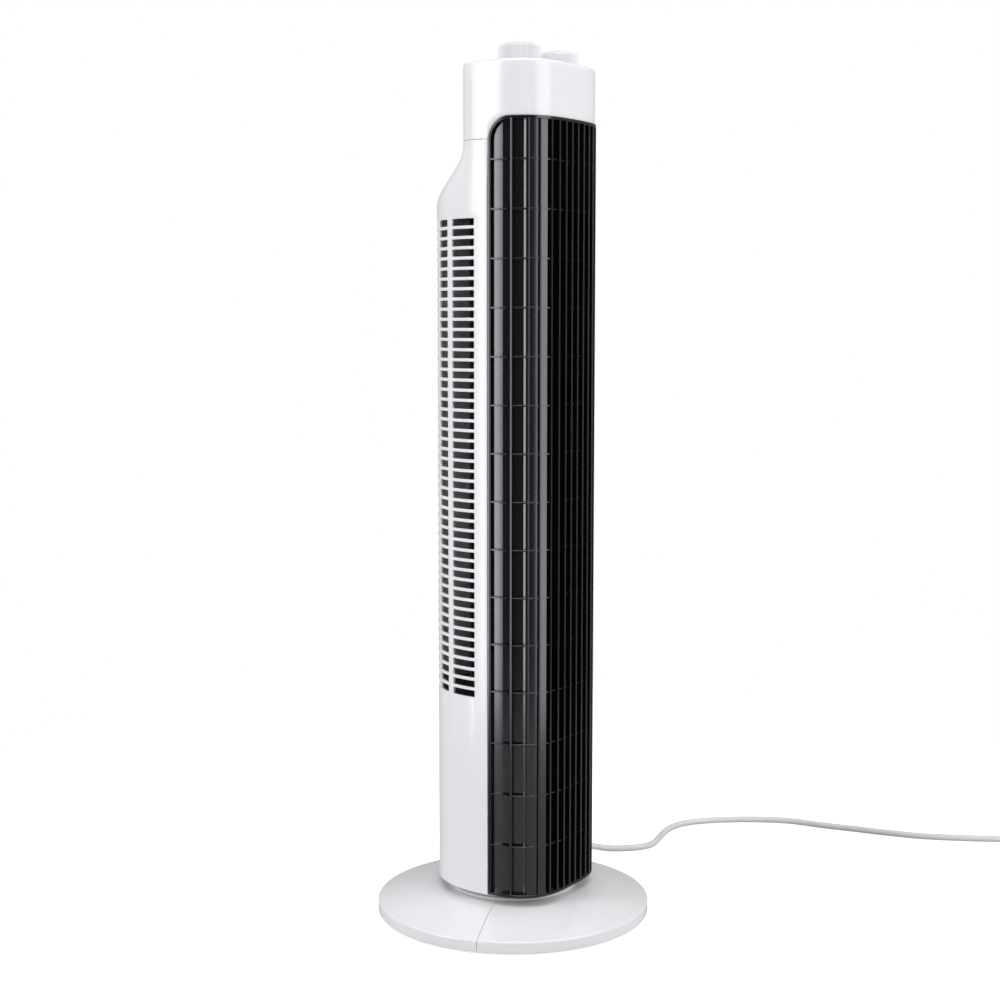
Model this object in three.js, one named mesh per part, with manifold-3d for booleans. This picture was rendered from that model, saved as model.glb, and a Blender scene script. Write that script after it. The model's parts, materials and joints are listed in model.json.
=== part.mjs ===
// Tower fan: a slim column with a black outlet grille, swinging on a round two-part base.
// Millimetres, +Z up. The origin is on the floor under the swing axis, and the tower faces -Y.

import * as THREE from "three";
import { mergeVertices } from "three/addons/utils/BufferGeometryUtils.js";
import Module from "manifold-3d";

const wasm = await Module();
wasm.setup();

// ---- Driving dimensions ----

const FIT = 0.3; // between pieces that touch
const RUN = 0.4; // between pieces that turn or slide
const SHELL_GAP = 0.5; // between a shell and the plates inside it

// Base
const BASE_R = 117.5;
const BASE_EDGE_Z = 2; // the rim's lower edge, above the floor
const RIM_TOP_Z = 12;
const BASE_TOP_Z = 24; // the flat middle of the cone
const BASE_FLAT_R = 56;
const BASE_HOLE_R = 30;
const BASE_WALL = 2.5;
const SEAM = 0.4; // the gap between the two base halves
const SEAM_TURN = 19; // degrees from +X to the seam, which ends at the cord
const FOOT_R = 6.5;
const FOOT_H = 4;
const FOOT_INSET = 11.5; // from the rim to a foot's centre
const FEET = 6;
const BASE_SCREWS = 4;
const BASE_SCREW_INSET = 14; // from the seat's edge
const BASE_SIDES = 48;
const PLATE_T = 3;

// Swivel
const SEAT_R = 55;
const SEAT_T = 2.7;
const NECK_R = 48;
const NECK_WALL = 3;
const RETAINER_T = 2.5;
const RETAINER_LIP = 2.5;
const SWIVEL_SIDES = 32;
const LEAD_R = 3; // the mains cord and its inner run

// Tower
const TOWER_LIFT = 7; // from the base's top to the underside of the column
const HALF_WIDTH = 60.5;
const FRONT_DEPTH = 62;
const REAR_DEPTH = 66;
const FRONT_SQUARENESS = 3.3;
const FRONT_TURNS = [14, 27, 38, 48, 58, 69, 80]; // degrees from the side to the front's corners
const REAR_SQUARENESS = 2;
const SHOULDER_LOW_Z = 607;
const SHOULDER_HIGH_Z = 654;
const SHOULDER_STEPS = 8;
const HEAD_INSET = 1;
const HEAD_REAR_DEPTH = 27;
const HEAD_SQUARENESS = 2.2;
const CAP_SEAM_Z = 657;
const CAP_TOP_Z = 719.5;
const CAP_ROUND = 3;
const HOUSING_WALL = 2.5;
const GRILLE_WALL = 3;
const GRILLE_EDGE_Y = -14.6;
const GRILLE_TOP_Z = 674.3;
const GRILLE_CORNER_R = 18.7;

// Outlet: a field of slats and bars
const SLAT_PITCH = 9.1;
const SLATS = 8;
const SLAT_T = 2;
const SLAT_DEPTH = 9;
const OUTLET_LOW_Z = 205.4;
const BAR_PITCH = 39.55;
const OUTLET_ROWS = 10;
const BAR_T = 2;

// Intake: columns of slots, each column on one flat facet
const SLOT_LOW_Z = 198.4;
const SLOT_H = 5.7;
const SLOT_PITCH = 8.3;
const SLOT_ROWS = 48;
const SLOT_COLUMNS = [
  [1, 20.5],
  [26.7, 42],
  [50, 62],
]; // degrees round the rear, from the side
const FACET_MARGIN = 1; // degrees that a facet runs past its slots
const REAR_FACET = 76; // one more corner of the rear, past the last column

// Housing screws, two into each bulkhead
const SCREW_X = 7;
const SCREW_DROP = 6; // below a bulkhead's underside
const SCREW_SHANK_R = 1.6;
const SCREW_HEAD_R = 3.6;
const SCREW_HEAD_T = 1.6;

// Blower
const IMPELLER_R = 38;
const IMPELLER_LOW_Z = 205.5;
const IMPELLER_HIGH_Z = 598;
const IMPELLER_DISCS = 3;
const DISC_T = 2;
const BLADES = 16;
const BLADE_T = 1.2;
const BLADE_CHORD = 9;
const BLADE_TILT = 28; // degrees from the radius
const SHAFT_R = 4;
const STUB_R = 3;
const BUSH_R = 9;
const BULKHEAD_T = 3;
const LOWER_BULKHEAD_Z = 195;
const UPPER_BULKHEAD_Z = 604;
const MOTOR_R = 34;
const MOTOR_WALL = 3;
const STATOR_R = 33;
const ROTOR_R = 15.5;
const STATOR_LOW_Z = 158;
const STATOR_H = 20;
const DUCT_WALL = 1.6;
const DUCT_GAP = 6.3; // from the impeller to the duct's inner end

// Swing drive: a crank on the tower and a link to a pin on the seat, worked out as a four-bar
const SWING_HALF = 35; // degrees each way
const CRANK_GAP = 5.2; // between the crank pin's path and the neck
const LINK_GAP = 2.4; // between the link's fixed eye and the neck
const PIN_R = 2;
const EYE_R = PIN_R + RUN + 1.8;
const LINK_T = 2;
const CRANK_LIFT = 7.2; // above the underside of the column
const CRANK_T = 3;
const BRIDGE_LIFT = 14;
const BRIDGE_T = 2.5; // the sheet of the bridge and of the switch bracket
const BRIDGE_HALF_D = 11; // half the depth of its legs
const DRIVE_SHAFT_R = 3;
const SWING_MOTOR_GAP = 2; // between the swing motor and the lead on the axis

// Controls
const KNOB_R = 17.5;
const KNOB_SIDE_H = 11;
const KNOB_DOME_H = 4.4;
const KNOB_X = 29;
const KNOB_Y = -25;
const STEM_R = 3.2;
const BRACKET_Z = 684;
const SWITCH_TOP_Z = 705;
const SWITCH_HALF_W = 15;
const SWITCH_HALF_D = 13;
const SWITCH_LEAD_X = -50;
const SWITCH_LEAD_Y = -24;

// Mains cord: chosen points along the floor, then a coil and the plug
const GLAND_Z = 6;
const GLAND_L = 32;
const GLAND_R = 4.4; // through the rim
const GLAND_FLANGE_R = 5;
const GLAND_INSIDE = 15; // from the rim in to the flange's inner face
const COIL_TURN_R = 39; // the outermost turn
const COIL_INNER_R = 24;
const COIL_H = 12;
const PLUG_START = 58; // from the coil's tangent
const PLUG_L = 34;
const PLUG_W = 26;
const PLUG_Z = 7;
const PIN_SPACING = 19;
const PIN_L = 19;
const CORD_END_TURN = -57.7; // degrees from +X that the cord runs at its far end
const CORD_ROUTE = [
  [141.96, 48.88, 6],
  [149.2, 51.1, 5.6],
  [157.9, 51.4, 4.8],
  [166.5, 48.8, 4],
  [173.8, 43.2, 3.4],
  [178.9, 35.2, 3.1],
  [181.6, 24.4, 3],
  [182.8, 14.1, 3],
  [186.4, 5.5, 3],
  [193.6, -3.2, 3],
  [199.7, -9.3, 3],
  [207.3, -14.6, 3],
  [215.6, -17.3, 3],
  [224.4, -17.3, 3],
  [233, -15.4, 3],
  [242, -13.2, 3],
  [256, -9.8, 3],
  [270, -7.6, 3],
  [284, -7.8, 3],
  [299.8, -12, 3],
  [314.5, -22.4, 3],
  [327.4, -34.5, 3],
  [342.5, -53.5, 3],
  [357, -77, 3],
  [366, -100, 3],
  [370, -130, 3],
  [376, -160, 3],
  [381.5, -190, 3],
  [391, -227, 3],
  [407, -262, 3],
  [425.5, -295.6, 3],
  [445.2, -326.8, 3],
];

// ---- Materials ----

const finish = (color, roughness, metalness = 0) => ({ color, roughness, metalness });
const GLOSS_WHITE = finish("#ececf0", 0.25);
const SATIN_WHITE = finish("#f0f0f2", 0.45);
const GLOSS_BLACK = finish("#17171a", 0.28);
const INNER_BLACK = finish("#1b1b1d", 0.6);
const STEEL = finish("#9b9da0", 0.35, 1);
const DARK_STEEL = finish("#55585c", 0.5, 1);
const BRASS = finish("#b79a5a", 0.3, 1);
const RUBBER = finish("#2a2a2b", 0.85);
const CORD_WHITE = finish("#e6e6e8", 0.5);
const SWITCH_GREY = finish("#c9c8c2", 0.55);
const BUSH_BRONZE = finish("#a1794a", 0.5, 0.6);

// ---- Solids ----

const TOWER_Z = BASE_TOP_Z + TOWER_LIFT;
const radians = THREE.MathUtils.degToRad;
const at = (x, y, z) => new THREE.Matrix4().makeTranslation(x, y, z);
const turned = (degrees) => new THREE.Matrix4().makeRotationZ(radians(degrees));
const polar = (r, degrees) => [r * Math.cos(radians(degrees)), r * Math.sin(radians(degrees))];

// A closed geometry, moved to its place, as a solid that can be joined and cut.
function solid(geometry, place = new THREE.Matrix4()) {
  const plain = (geometry.index ? geometry.toNonIndexed() : geometry.clone()).applyMatrix4(place);
  plain.deleteAttribute("normal");
  plain.deleteAttribute("uv");
  const merged = mergeVertices(plain, 1e-4);
  const corners = merged.index.array;
  const kept = [];
  for (let i = 0; i < corners.length; i += 3) {
    const [a, b, c] = [corners[i], corners[i + 1], corners[i + 2]];
    if (a !== b && b !== c && c !== a) kept.push(a, b, c);
  }
  const mesh = new wasm.Mesh({
    numProp: 3,
    vertProperties: merged.attributes.position.array,
    triVerts: new Uint32Array(kept),
  });
  return new wasm.Manifold(mesh);
}

const join = (...shapes) => shapes.reduce((all, shape) => all.add(shape));
const cut = (shape, ...tools) => tools.reduce((left, tool) => left.subtract(tool), shape);

function box(x0, x1, y0, y1, z0, z1) {
  const geometry = new THREE.BoxGeometry(x1 - x0, y1 - y0, z1 - z0);
  return solid(geometry, at((x0 + x1) / 2, (y0 + y1) / 2, (z0 + z1) / 2));
}

// A solid of revolution about Z. The profile is a closed loop of [radius, z], counter-clockwise.
function turn(profile, sides, x = 0, y = 0, place = new THREE.Matrix4()) {
  const loop = [...profile, profile[0]].map(([r, z]) => new THREE.Vector2(r, z));
  const geometry = new THREE.LatheGeometry(loop, sides).rotateX(Math.PI / 2);
  return solid(geometry, place.clone().multiply(at(x, y, 0)));
}

function rod(x, y, r, z0, z1, sides = 12) {
  return turn([[0, z0], [r, z0], [r, z1], [0, z1]], sides, x, y);
}

function tube(x, y, inner, outer, z0, z1, sides = 24) {
  return turn([[inner, z0], [outer, z0], [outer, z1], [inner, z1]], sides, x, y);
}

function prism(outline, z0, z1) {
  const geometry = new THREE.ExtrudeGeometry(new THREE.Shape(outline), {
    depth: z1 - z0,
    bevelEnabled: false,
  });
  return solid(geometry, at(0, 0, z0));
}

// A round bar between two points.
function bar(from, to, r, sides = 10, farR = r) {
  const [a, b] = [new THREE.Vector3(...from), new THREE.Vector3(...to)];
  const along = b.clone().sub(a);
  const geometry = new THREE.CylinderGeometry(farR, r, along.length(), sides);
  const turnTo = new THREE.Quaternion().setFromUnitVectors(
    new THREE.Vector3(0, 1, 0),
    along.clone().normalize(),
  );
  const middle = a.clone().addScaledVector(along, 0.5);
  return solid(geometry, new THREE.Matrix4().compose(middle, turnTo, new THREE.Vector3(1, 1, 1)));
}

// A flexible round lead through the given points.
function lead(points, r, steps, sides = 10) {
  const path = new THREE.CatmullRomCurve3(points.map((p) => new THREE.Vector3(...p)));
  const ring = [];
  for (let i = 0; i < sides; i++) ring.push(new THREE.Vector2(...polar(r, (360 * i) / sides)));
  const geometry = new THREE.ExtrudeGeometry(new THREE.Shape(ring), {
    steps,
    extrudePath: path,
    bevelEnabled: false,
  });
  return solid(geometry);
}

// A closed solid through one outline per level. Every outline is convex and has as many points.
function loft(levels, outlineAt) {
  const rings = levels.map((z) => outlineAt(z).map((p) => [p.x, p.y, z]));
  const count = rings[0].length;
  const corners = [];
  for (let k = 0; k + 1 < rings.length; k++) {
    for (let i = 0; i < count; i++) {
      const j = (i + 1) % count;
      const [a, b, c, d] = [rings[k][i], rings[k][j], rings[k + 1][j], rings[k + 1][i]];
      corners.push(...a, ...b, ...c, ...a, ...c, ...d);
    }
  }
  const top = rings[rings.length - 1];
  for (let i = 1; i + 1 < count; i++) {
    corners.push(...rings[0][0], ...rings[0][i + 1], ...rings[0][i]);
    corners.push(...top[0], ...top[i], ...top[i + 1]);
  }
  const geometry = new THREE.BufferGeometry();
  geometry.setAttribute("position", new THREE.Float32BufferAttribute(corners, 3));
  return solid(geometry);
}

const group = new THREE.Group();

function add(name, shape, look) {
  const { vertProperties, triVerts, numProp } = shape.getMesh();
  if (numProp !== 3) throw new Error(name + " carries more than positions");
  const geometry = new THREE.BufferGeometry();
  geometry.setAttribute("position", new THREE.BufferAttribute(vertProperties, 3));
  geometry.setIndex(new THREE.BufferAttribute(triVerts, 1));
  const mesh = new THREE.Mesh(geometry, new THREE.MeshStandardMaterial(look));
  mesh.name = name;
  group.add(mesh);
}

// ---- The tower's section ----

// Half-width, rear depth and rear squareness at a height: the shoulder is a smooth step.
function sectionAt(z) {
  const t = THREE.MathUtils.smoothstep(z, SHOULDER_LOW_Z, SHOULDER_HIGH_Z);
  return {
    width: HALF_WIDTH - HEAD_INSET * t,
    depth: THREE.MathUtils.lerp(REAR_DEPTH, HEAD_REAR_DEPTH, t),
    squareness: THREE.MathUtils.lerp(REAR_SQUARENESS, HEAD_SQUARENESS, t),
  };
}

function superPoint(width, depth, squareness, degrees) {
  const [c, s] = polar(1, degrees);
  const x = Math.sign(c) * width * Math.abs(c) ** (2 / squareness);
  const y = Math.sign(s) * depth * Math.abs(s) ** (2 / squareness);
  return new THREE.Vector2(x, y);
}

const rearTurns = [0];
for (const [start, end] of SLOT_COLUMNS) rearTurns.push(start - FACET_MARGIN, end + FACET_MARGIN);
const rightTurns = [...new Set([...rearTurns, REAR_FACET])];
const allRearTurns = [...rightTurns, 90, ...rightTurns.map((t) => 180 - t).reverse()];
const allFrontTurns = [...FRONT_TURNS, ...FRONT_TURNS.map((t) => 180 - t).reverse()];

function rearPoints(z, inset) {
  const { width, depth, squareness } = sectionAt(z);
  return allRearTurns.map((t) => superPoint(width - inset, depth - inset, squareness, t));
}

function frontPoints(z, inset, frontInset = 0) {
  const { width } = sectionAt(z);
  const depth = FRONT_DEPTH - frontInset - inset;
  return allFrontTurns.map((t) => superPoint(width - inset, depth, FRONT_SQUARENESS, 180 + t));
}

const wholeSection = (z, inset, frontInset = 0) => [
  ...rearPoints(z, inset),
  ...frontPoints(z, inset, frontInset),
];

// The rear part of the section, closed straight across at the given y.
function rearSection(z, inset, closeY) {
  const rear = rearPoints(z, inset);
  const first = rear[0];
  const last = rear[rear.length - 1];
  return [new THREE.Vector2(first.x, closeY), ...rear, new THREE.Vector2(last.x, closeY)];
}

const shoulderLevels = [];
for (let i = 0; i <= SHOULDER_STEPS; i++) {
  shoulderLevels.push(THREE.MathUtils.lerp(SHOULDER_LOW_Z, SHOULDER_HIGH_Z, i / SHOULDER_STEPS));
}

// The space ahead of an upright edge, with its upper corner rounded, right through the tower in X.
function aheadOf(edgeY, lowZ, topZ, cornerR) {
  const farY = -2 * FRONT_DEPTH;
  const shape = new THREE.Shape();
  shape.moveTo(farY, lowZ);
  shape.lineTo(edgeY, lowZ);
  shape.lineTo(edgeY, topZ - cornerR);
  shape.absarc(edgeY - cornerR, topZ - cornerR, cornerR, 0, Math.PI / 2);
  shape.lineTo(farY, topZ);
  const reach = 2 * HALF_WIDTH;
  const geometry = new THREE.ExtrudeGeometry(shape, {
    depth: 2 * reach,
    bevelEnabled: false,
    curveSegments: 6,
  });
  const [x, y, z] = [[1, 0, 0], [0, 1, 0], [0, 0, 1]].map((v) => new THREE.Vector3(...v));
  return solid(geometry, new THREE.Matrix4().makeBasis(y, z, x).setPosition(-reach, 0, 0));
}

// ---- Base ----

const seamDirection = polar(1, SEAM_TURN);
const alongSeam = (r, z) => [r * seamDirection[0], r * seamDirection[1], z];
const screwTurn = (i) => SEAM_TURN + 45 + (360 * i) / BASE_SCREWS;
const footCircle = BASE_R - FOOT_INSET;
const screwCircle = SEAT_R - BASE_SCREW_INSET;

// The height of the base's sloping underside at a radius.
const underTop = BASE_TOP_Z - BASE_WALL;
const underRim = RIM_TOP_Z - BASE_WALL;
const underAt = (r) =>
  THREE.MathUtils.mapLinear(r, BASE_FLAT_R, BASE_R - BASE_WALL, underTop, underRim);

function baseDisc() {
  return turn(
    [
      [BASE_HOLE_R, underTop],
      [BASE_FLAT_R, underTop],
      [BASE_R - BASE_WALL, underRim],
      [BASE_R - BASE_WALL, BASE_EDGE_Z],
      [BASE_R, BASE_EDGE_Z],
      [BASE_R, RIM_TOP_Z - 1.5],
      [BASE_R - 1.5, RIM_TOP_Z],
      [BASE_FLAT_R + 4, BASE_TOP_Z - 0.7],
      [BASE_FLAT_R, BASE_TOP_Z],
      [BASE_HOLE_R, BASE_TOP_Z],
    ],
    BASE_SIDES,
  );
}

function footBoss(i) {
  const [x, y] = polar(footCircle, SEAM_TURN + (360 * (i + 0.5)) / FEET);
  return rod(x, y, FOOT_R + 1, FOOT_H + FIT, underAt(footCircle) + 1);
}

function cordNotch() {
  const r = GLAND_R + RUN;
  const [near, far] = [BASE_R - GLAND_INSIDE, BASE_R + 5];
  const hole = bar(alongSeam(near, GLAND_Z), alongSeam(far, GLAND_Z), r);
  const slot = box(near, far, -r, r, 0, GLAND_Z);
  return join(hole, slot.transform(turned(SEAM_TURN).elements));
}

const halfSpace = (side) => {
  const near = SEAM / 2;
  const far = 2 * BASE_R;
  const [low, high] = side > 0 ? [near, far] : [-far, -near];
  return box(-far, far, low, high, -far, far).transform(turned(SEAM_TURN).elements);
};

const baseScrewHoles = [];
for (let i = 0; i < BASE_SCREWS; i++) {
  const [x, y] = polar(screwCircle, screwTurn(i));
  baseScrewHoles.push(rod(x, y, PIN_R + RUN, underTop - 10, BASE_TOP_Z + 6, 8));
}

let disc = baseDisc();
for (let i = 0; i < FEET; i++) disc = join(disc, footBoss(i));
disc = cut(disc, cordNotch(), ...baseScrewHoles);
add("base_rear_half", disc.intersect(halfSpace(1)), GLOSS_WHITE);
add("base_front_half", disc.intersect(halfSpace(-1)), GLOSS_WHITE);

for (let i = 0; i < FEET; i++) {
  const [x, y] = polar(footCircle, SEAM_TURN + (360 * (i + 0.5)) / FEET);
  add("rubber_foot_" + (i + 1), rod(x, y, FOOT_R, 0, FOOT_H, 16), RUBBER);
}

const plateTop = underTop - FIT;
const joiningPlate = tube(0, 0, 12, SEAT_R - 4, plateTop - PLATE_T, plateTop);
add("base_joining_plate", cut(joiningPlate, ...baseScrewHoles), DARK_STEEL);

const screwHeadZ = plateTop - PLATE_T - FIT;
for (let i = 0; i < BASE_SCREWS; i++) {
  const [x, y] = polar(screwCircle, screwTurn(i));
  const head = rod(x, y, 2 * PIN_R, screwHeadZ - 2, screwHeadZ, 8);
  add("base_screw_" + (i + 1), join(head, rod(x, y, PIN_R, screwHeadZ - 1, BASE_TOP_Z + 2, 8)), STEEL);
}

// ---- Swivel and swing drive ----

// The crank turns with the tower, and the link joins its pin to a pin on the fixed seat.
const seatZ = BASE_TOP_Z + FIT;
const seatTop = seatZ + SEAT_T;
const neckInner = NECK_R - NECK_WALL;
const CRANK_CENTRE_R = (neckInner - PIN_R - CRANK_GAP) / (1 + Math.sin(radians(SWING_HALF)));
const LINK_PIN_AHEAD = Math.sqrt((neckInner - EYE_R - LINK_GAP) ** 2 - CRANK_CENTRE_R ** 2);
const spread = (swing) => {
  const [dx, dy] = [
    LINK_PIN_AHEAD - CRANK_CENTRE_R * Math.sin(radians(swing)),
    CRANK_CENTRE_R * (1 - Math.cos(radians(swing))),
  ];
  return Math.hypot(dx, dy);
};
const CRANK_THROW = (spread(-SWING_HALF) - spread(SWING_HALF)) / 2;
const LINK_LENGTH = (spread(-SWING_HALF) + spread(SWING_HALF)) / 2;
const restSpread = spread(-SEAM_TURN);
const linkAtCrank = Math.acos(
  (CRANK_THROW ** 2 + restSpread ** 2 - LINK_LENGTH ** 2) / (2 * CRANK_THROW * restSpread),
);
const crankCentre = new THREE.Vector2(0, -CRANK_CENTRE_R);
const seatPin = new THREE.Vector2(LINK_PIN_AHEAD, -CRANK_CENTRE_R).rotateAround(
  new THREE.Vector2(),
  radians(SEAM_TURN),
);
const crankPin = seatPin
  .clone()
  .sub(crankCentre)
  .setLength(CRANK_THROW)
  .rotateAround(new THREE.Vector2(), -linkAtCrank)
  .add(crankCentre);

const floorTop = TOWER_Z + FIT + PLATE_T;
const neckTop = floorTop + 0.2;
let seat = tube(0, 0, LEAD_R + RUN, SEAT_R, seatZ, seatTop, SWIVEL_SIDES);
seat = join(seat, tube(0, 0, neckInner, NECK_R, seatTop - 1, neckTop, SWIVEL_SIDES));
seat = cut(seat, ...baseScrewHoles);
const linkZ = seatTop + RUN;
seat = join(seat, rod(seatPin.x, seatPin.y, PIN_R, seatTop - 1, linkZ + LINK_T + RUN, 12));
add("swivel_seat", seat, INNER_BLACK);

const slideOuter = SEAT_R - 1;
const slideTop = TOWER_Z - FIT;
add("slide_ring", tube(0, 0, NECK_R + RUN, slideOuter, seatTop + FIT, slideTop, SWIVEL_SIDES), SATIN_WHITE);

const retainerZ = neckTop + FIT;
const retainerOuter = NECK_R + RETAINER_LIP;
const retainerInner = crankCentre.length() + CRANK_THROW + PIN_R + 1.5;
add(
  "swivel_retainer",
  tube(0, 0, retainerInner, retainerOuter, retainerZ, retainerZ + RETAINER_T, SWIVEL_SIDES),
  DARK_STEEL,
);

// A flat bar with a round eye at each end.
function link(a, b, eyeR, z0, z1) {
  const along = b.clone().sub(a);
  const place = at(a.x, a.y, 0).multiply(turned(THREE.MathUtils.radToDeg(along.angle())));
  const web = box(0, along.length(), 0.2 - eyeR, eyeR - 0.2, z0, z1).transform(place.elements);
  return join(rod(a.x, a.y, eyeR, z0, z1), rod(b.x, b.y, eyeR, z0, z1), web);
}

const eyeHole = (p) => rod(p.x, p.y, PIN_R + RUN, linkZ - 1, linkZ + LINK_T + 1, 12);
const linkBar = link(seatPin, crankPin, EYE_R, linkZ, linkZ + LINK_T);
add("swing_link", cut(linkBar, eyeHole(seatPin), eyeHole(crankPin)), STEEL);

const CRANK_Z = TOWER_Z + CRANK_LIFT;
const BRIDGE_Z = TOWER_Z + BRIDGE_LIFT;
const hubTop = BRIDGE_Z - 0.8;
const shaftEnd = CRANK_Z + 2;
const crankArm = join(
  link(crankCentre, crankPin, PIN_R + 1.8, CRANK_Z, CRANK_Z + CRANK_T),
  rod(crankCentre.x, crankCentre.y, 2 * DRIVE_SHAFT_R, CRANK_Z, hubTop),
  rod(crankPin.x, crankPin.y, PIN_R, linkZ + LINK_T + RUN, CRANK_Z + 1, 12),
);
const crankBore = rod(crankCentre.x, crankCentre.y, DRIVE_SHAFT_R + FIT, shaftEnd - FIT, BRIDGE_Z);
add("swing_crank", cut(crankArm, crankBore), SATIN_WHITE);

// ---- Tower floor and its swing motor ----

const innerInset = GRILLE_WALL + SHELL_GAP;
const floorZ = TOWER_Z + FIT;
const floorPlate = prism(wholeSection(floorZ, innerInset), floorZ, floorTop);
add("tower_floor", cut(floorPlate, rod(0, 0, NECK_R + RUN, 0, BRIDGE_Z, SWIVEL_SIDES)), INNER_BLACK);

const swingMotorR = CRANK_CENTRE_R - LEAD_R - SWING_MOTOR_GAP;
const legInner = retainerOuter + 1;
const legOuter = HALF_WIDTH - innerInset - 1;
let bridge = join(
  box(-legOuter, legOuter, -BRIDGE_HALF_D, BRIDGE_HALF_D, BRIDGE_Z, BRIDGE_Z + BRIDGE_T),
  box(-swingMotorR, swingMotorR, -CRANK_CENTRE_R - swingMotorR, 0, BRIDGE_Z, BRIDGE_Z + BRIDGE_T),
);
for (const side of [-1, 1]) {
  const [x0, x1] = side > 0 ? [legInner, legOuter] : [-legOuter, -legInner];
  bridge = join(bridge, box(x0, x1, -BRIDGE_HALF_D, BRIDGE_HALF_D, floorTop + FIT, BRIDGE_Z + 1));
}
const shaftHole = rod(crankCentre.x, crankCentre.y, DRIVE_SHAFT_R + 2, CRANK_Z, BRIDGE_Z + 10);
const leadHole = rod(0, 0, LEAD_R + RUN, CRANK_Z, BRIDGE_Z + 10);
add("swing_motor_bridge", cut(bridge, shaftHole, leadHole), DARK_STEEL);

const swingMotorZ = BRIDGE_Z + BRIDGE_T + FIT;
add(
  "swing_motor",
  join(
    rod(crankCentre.x, crankCentre.y, swingMotorR, swingMotorZ, swingMotorZ + 15, 24),
    rod(crankCentre.x, crankCentre.y, DRIVE_SHAFT_R, shaftEnd, swingMotorZ + 1),
  ),
  STEEL,
);

// ---- Housing ----

const columnSlots = ([start, end]) => {
  const { width, depth, squareness } = sectionAt(SLOT_LOW_Z);
  const a = superPoint(width, depth, squareness, start);
  const b = superPoint(width, depth, squareness, end);
  return { middle: a.clone().add(b).multiplyScalar(0.5), chord: b.clone().sub(a) };
};

function slotTools() {
  const tools = [];
  for (const column of SLOT_COLUMNS) {
    const { middle, chord } = columnSlots(column);
    const angle = THREE.MathUtils.radToDeg(chord.angle());
    const half = chord.length() / 2;
    for (let row = 0; row < SLOT_ROWS; row++) {
      const z = SLOT_LOW_Z + row * SLOT_PITCH;
      const slot = box(-half, half, -3 * HOUSING_WALL, 3 * HOUSING_WALL, z, z + SLOT_H);
      tools.push(slot.transform(at(middle.x, middle.y, 0).multiply(turned(angle)).elements));
    }
  }
  const oneSide = wasm.Manifold.union(tools);
  return oneSide.add(oneSide.mirror([1, 0, 0]));
}

const housingTop = CAP_SEAM_Z - FIT;
const housingEdgeY = GRILLE_EDGE_Y + FIT;
const housingInner = loft([0, ...shoulderLevels, CAP_TOP_Z], (z) =>
  rearSection(z, HOUSING_WALL, housingEdgeY - 10),
);
const housingOuter = loft([TOWER_Z, ...shoulderLevels, housingTop], (z) =>
  rearSection(z, 0, housingEdgeY),
);

// Two screws pass through the rear wall into each bulkhead.
const screwZs = [LOWER_BULKHEAD_Z - SCREW_DROP, UPPER_BULKHEAD_Z - SCREW_DROP];
const screwPlaces = screwZs.flatMap((z) => [-SCREW_X, SCREW_X].map((x) => ({ x, z })));
const rearFaceAt = (z) => rearPoints(z, 0)[allRearTurns.indexOf(90)].y;
const screwHole = ({ x, z }) => bar([x, 40, z], [x, 80, z], SCREW_SHANK_R + RUN);

add(
  "rear_housing",
  cut(housingOuter, housingInner, slotTools(), ...screwPlaces.map(screwHole)),
  GLOSS_WHITE,
);

screwPlaces.forEach(({ x, z }, i) => {
  const face = rearFaceAt(z) + FIT;
  const head = bar([x, face, z], [x, face + SCREW_HEAD_T, z], SCREW_HEAD_R, 12, SCREW_HEAD_R - 0.8);
  const shank = bar([x, face - 14, z], [x, face + 1, z], SCREW_SHANK_R);
  add("housing_screw_" + (i + 1), join(head, shank), STEEL);
});

// ---- Bulkheads ----

function bulkhead(z0) {
  const screwZ = z0 - SCREW_DROP;
  const plate = prism(wholeSection(z0, innerInset), z0, z0 + BULKHEAD_T);
  const bossY = rearFaceAt(screwZ) - HOUSING_WALL - 2;
  const boss = box(-13, 13, bossY - 10, bossY, screwZ - 5, z0 + 1);
  const holes = [-SCREW_X, SCREW_X].map((x) => screwHole({ x, z: screwZ }));
  return cut(join(plate, boss), ...holes);
}

const wireHole = rod(SWITCH_LEAD_X, SWITCH_LEAD_Y, LEAD_R + RUN, 0, 800, 12);
const lowerHole = rod(0, 0, SHAFT_R + 3, LOWER_BULKHEAD_Z - 5, LOWER_BULKHEAD_Z + 5);
add("lower_bulkhead", cut(bulkhead(LOWER_BULKHEAD_Z), lowerHole, wireHole), INNER_BLACK);

const upperTop = UPPER_BULKHEAD_Z + BULKHEAD_T;
const bushHole = rod(0, 0, BUSH_R + FIT, UPPER_BULKHEAD_Z - 5, UPPER_BULKHEAD_Z + 5, 16);
add("upper_bulkhead", cut(bulkhead(UPPER_BULKHEAD_Z), bushHole, wireHole), INNER_BLACK);
add("upper_bush", tube(0, 0, STUB_R + FIT, BUSH_R, UPPER_BULKHEAD_Z, upperTop + 3, 16), BUSH_BRONZE);

// ---- Grille ----

const grilleWindow = aheadOf(GRILLE_EDGE_Y, TOWER_Z + FIT, GRILLE_TOP_Z, GRILLE_CORNER_R);
const grilleSection = (inset) => {
  const front = allFrontTurns.map((t) =>
    superPoint(HALF_WIDTH - inset, FRONT_DEPTH - inset, FRONT_SQUARENESS, 180 + t),
  );
  const side = HALF_WIDTH - inset;
  return [new THREE.Vector2(side, 0), new THREE.Vector2(-side, 0), ...front];
};
const grilleShell = cut(
  prism(grilleSection(0), 0, CAP_TOP_Z).intersect(grilleWindow),
  prism(grilleSection(GRILLE_WALL), -10, CAP_TOP_Z + 10),
);
const slatX = (i) => (i - (SLATS - 1) / 2) * SLAT_PITCH;
const outletHighZ = OUTLET_LOW_Z + OUTLET_ROWS * BAR_PITCH;

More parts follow.
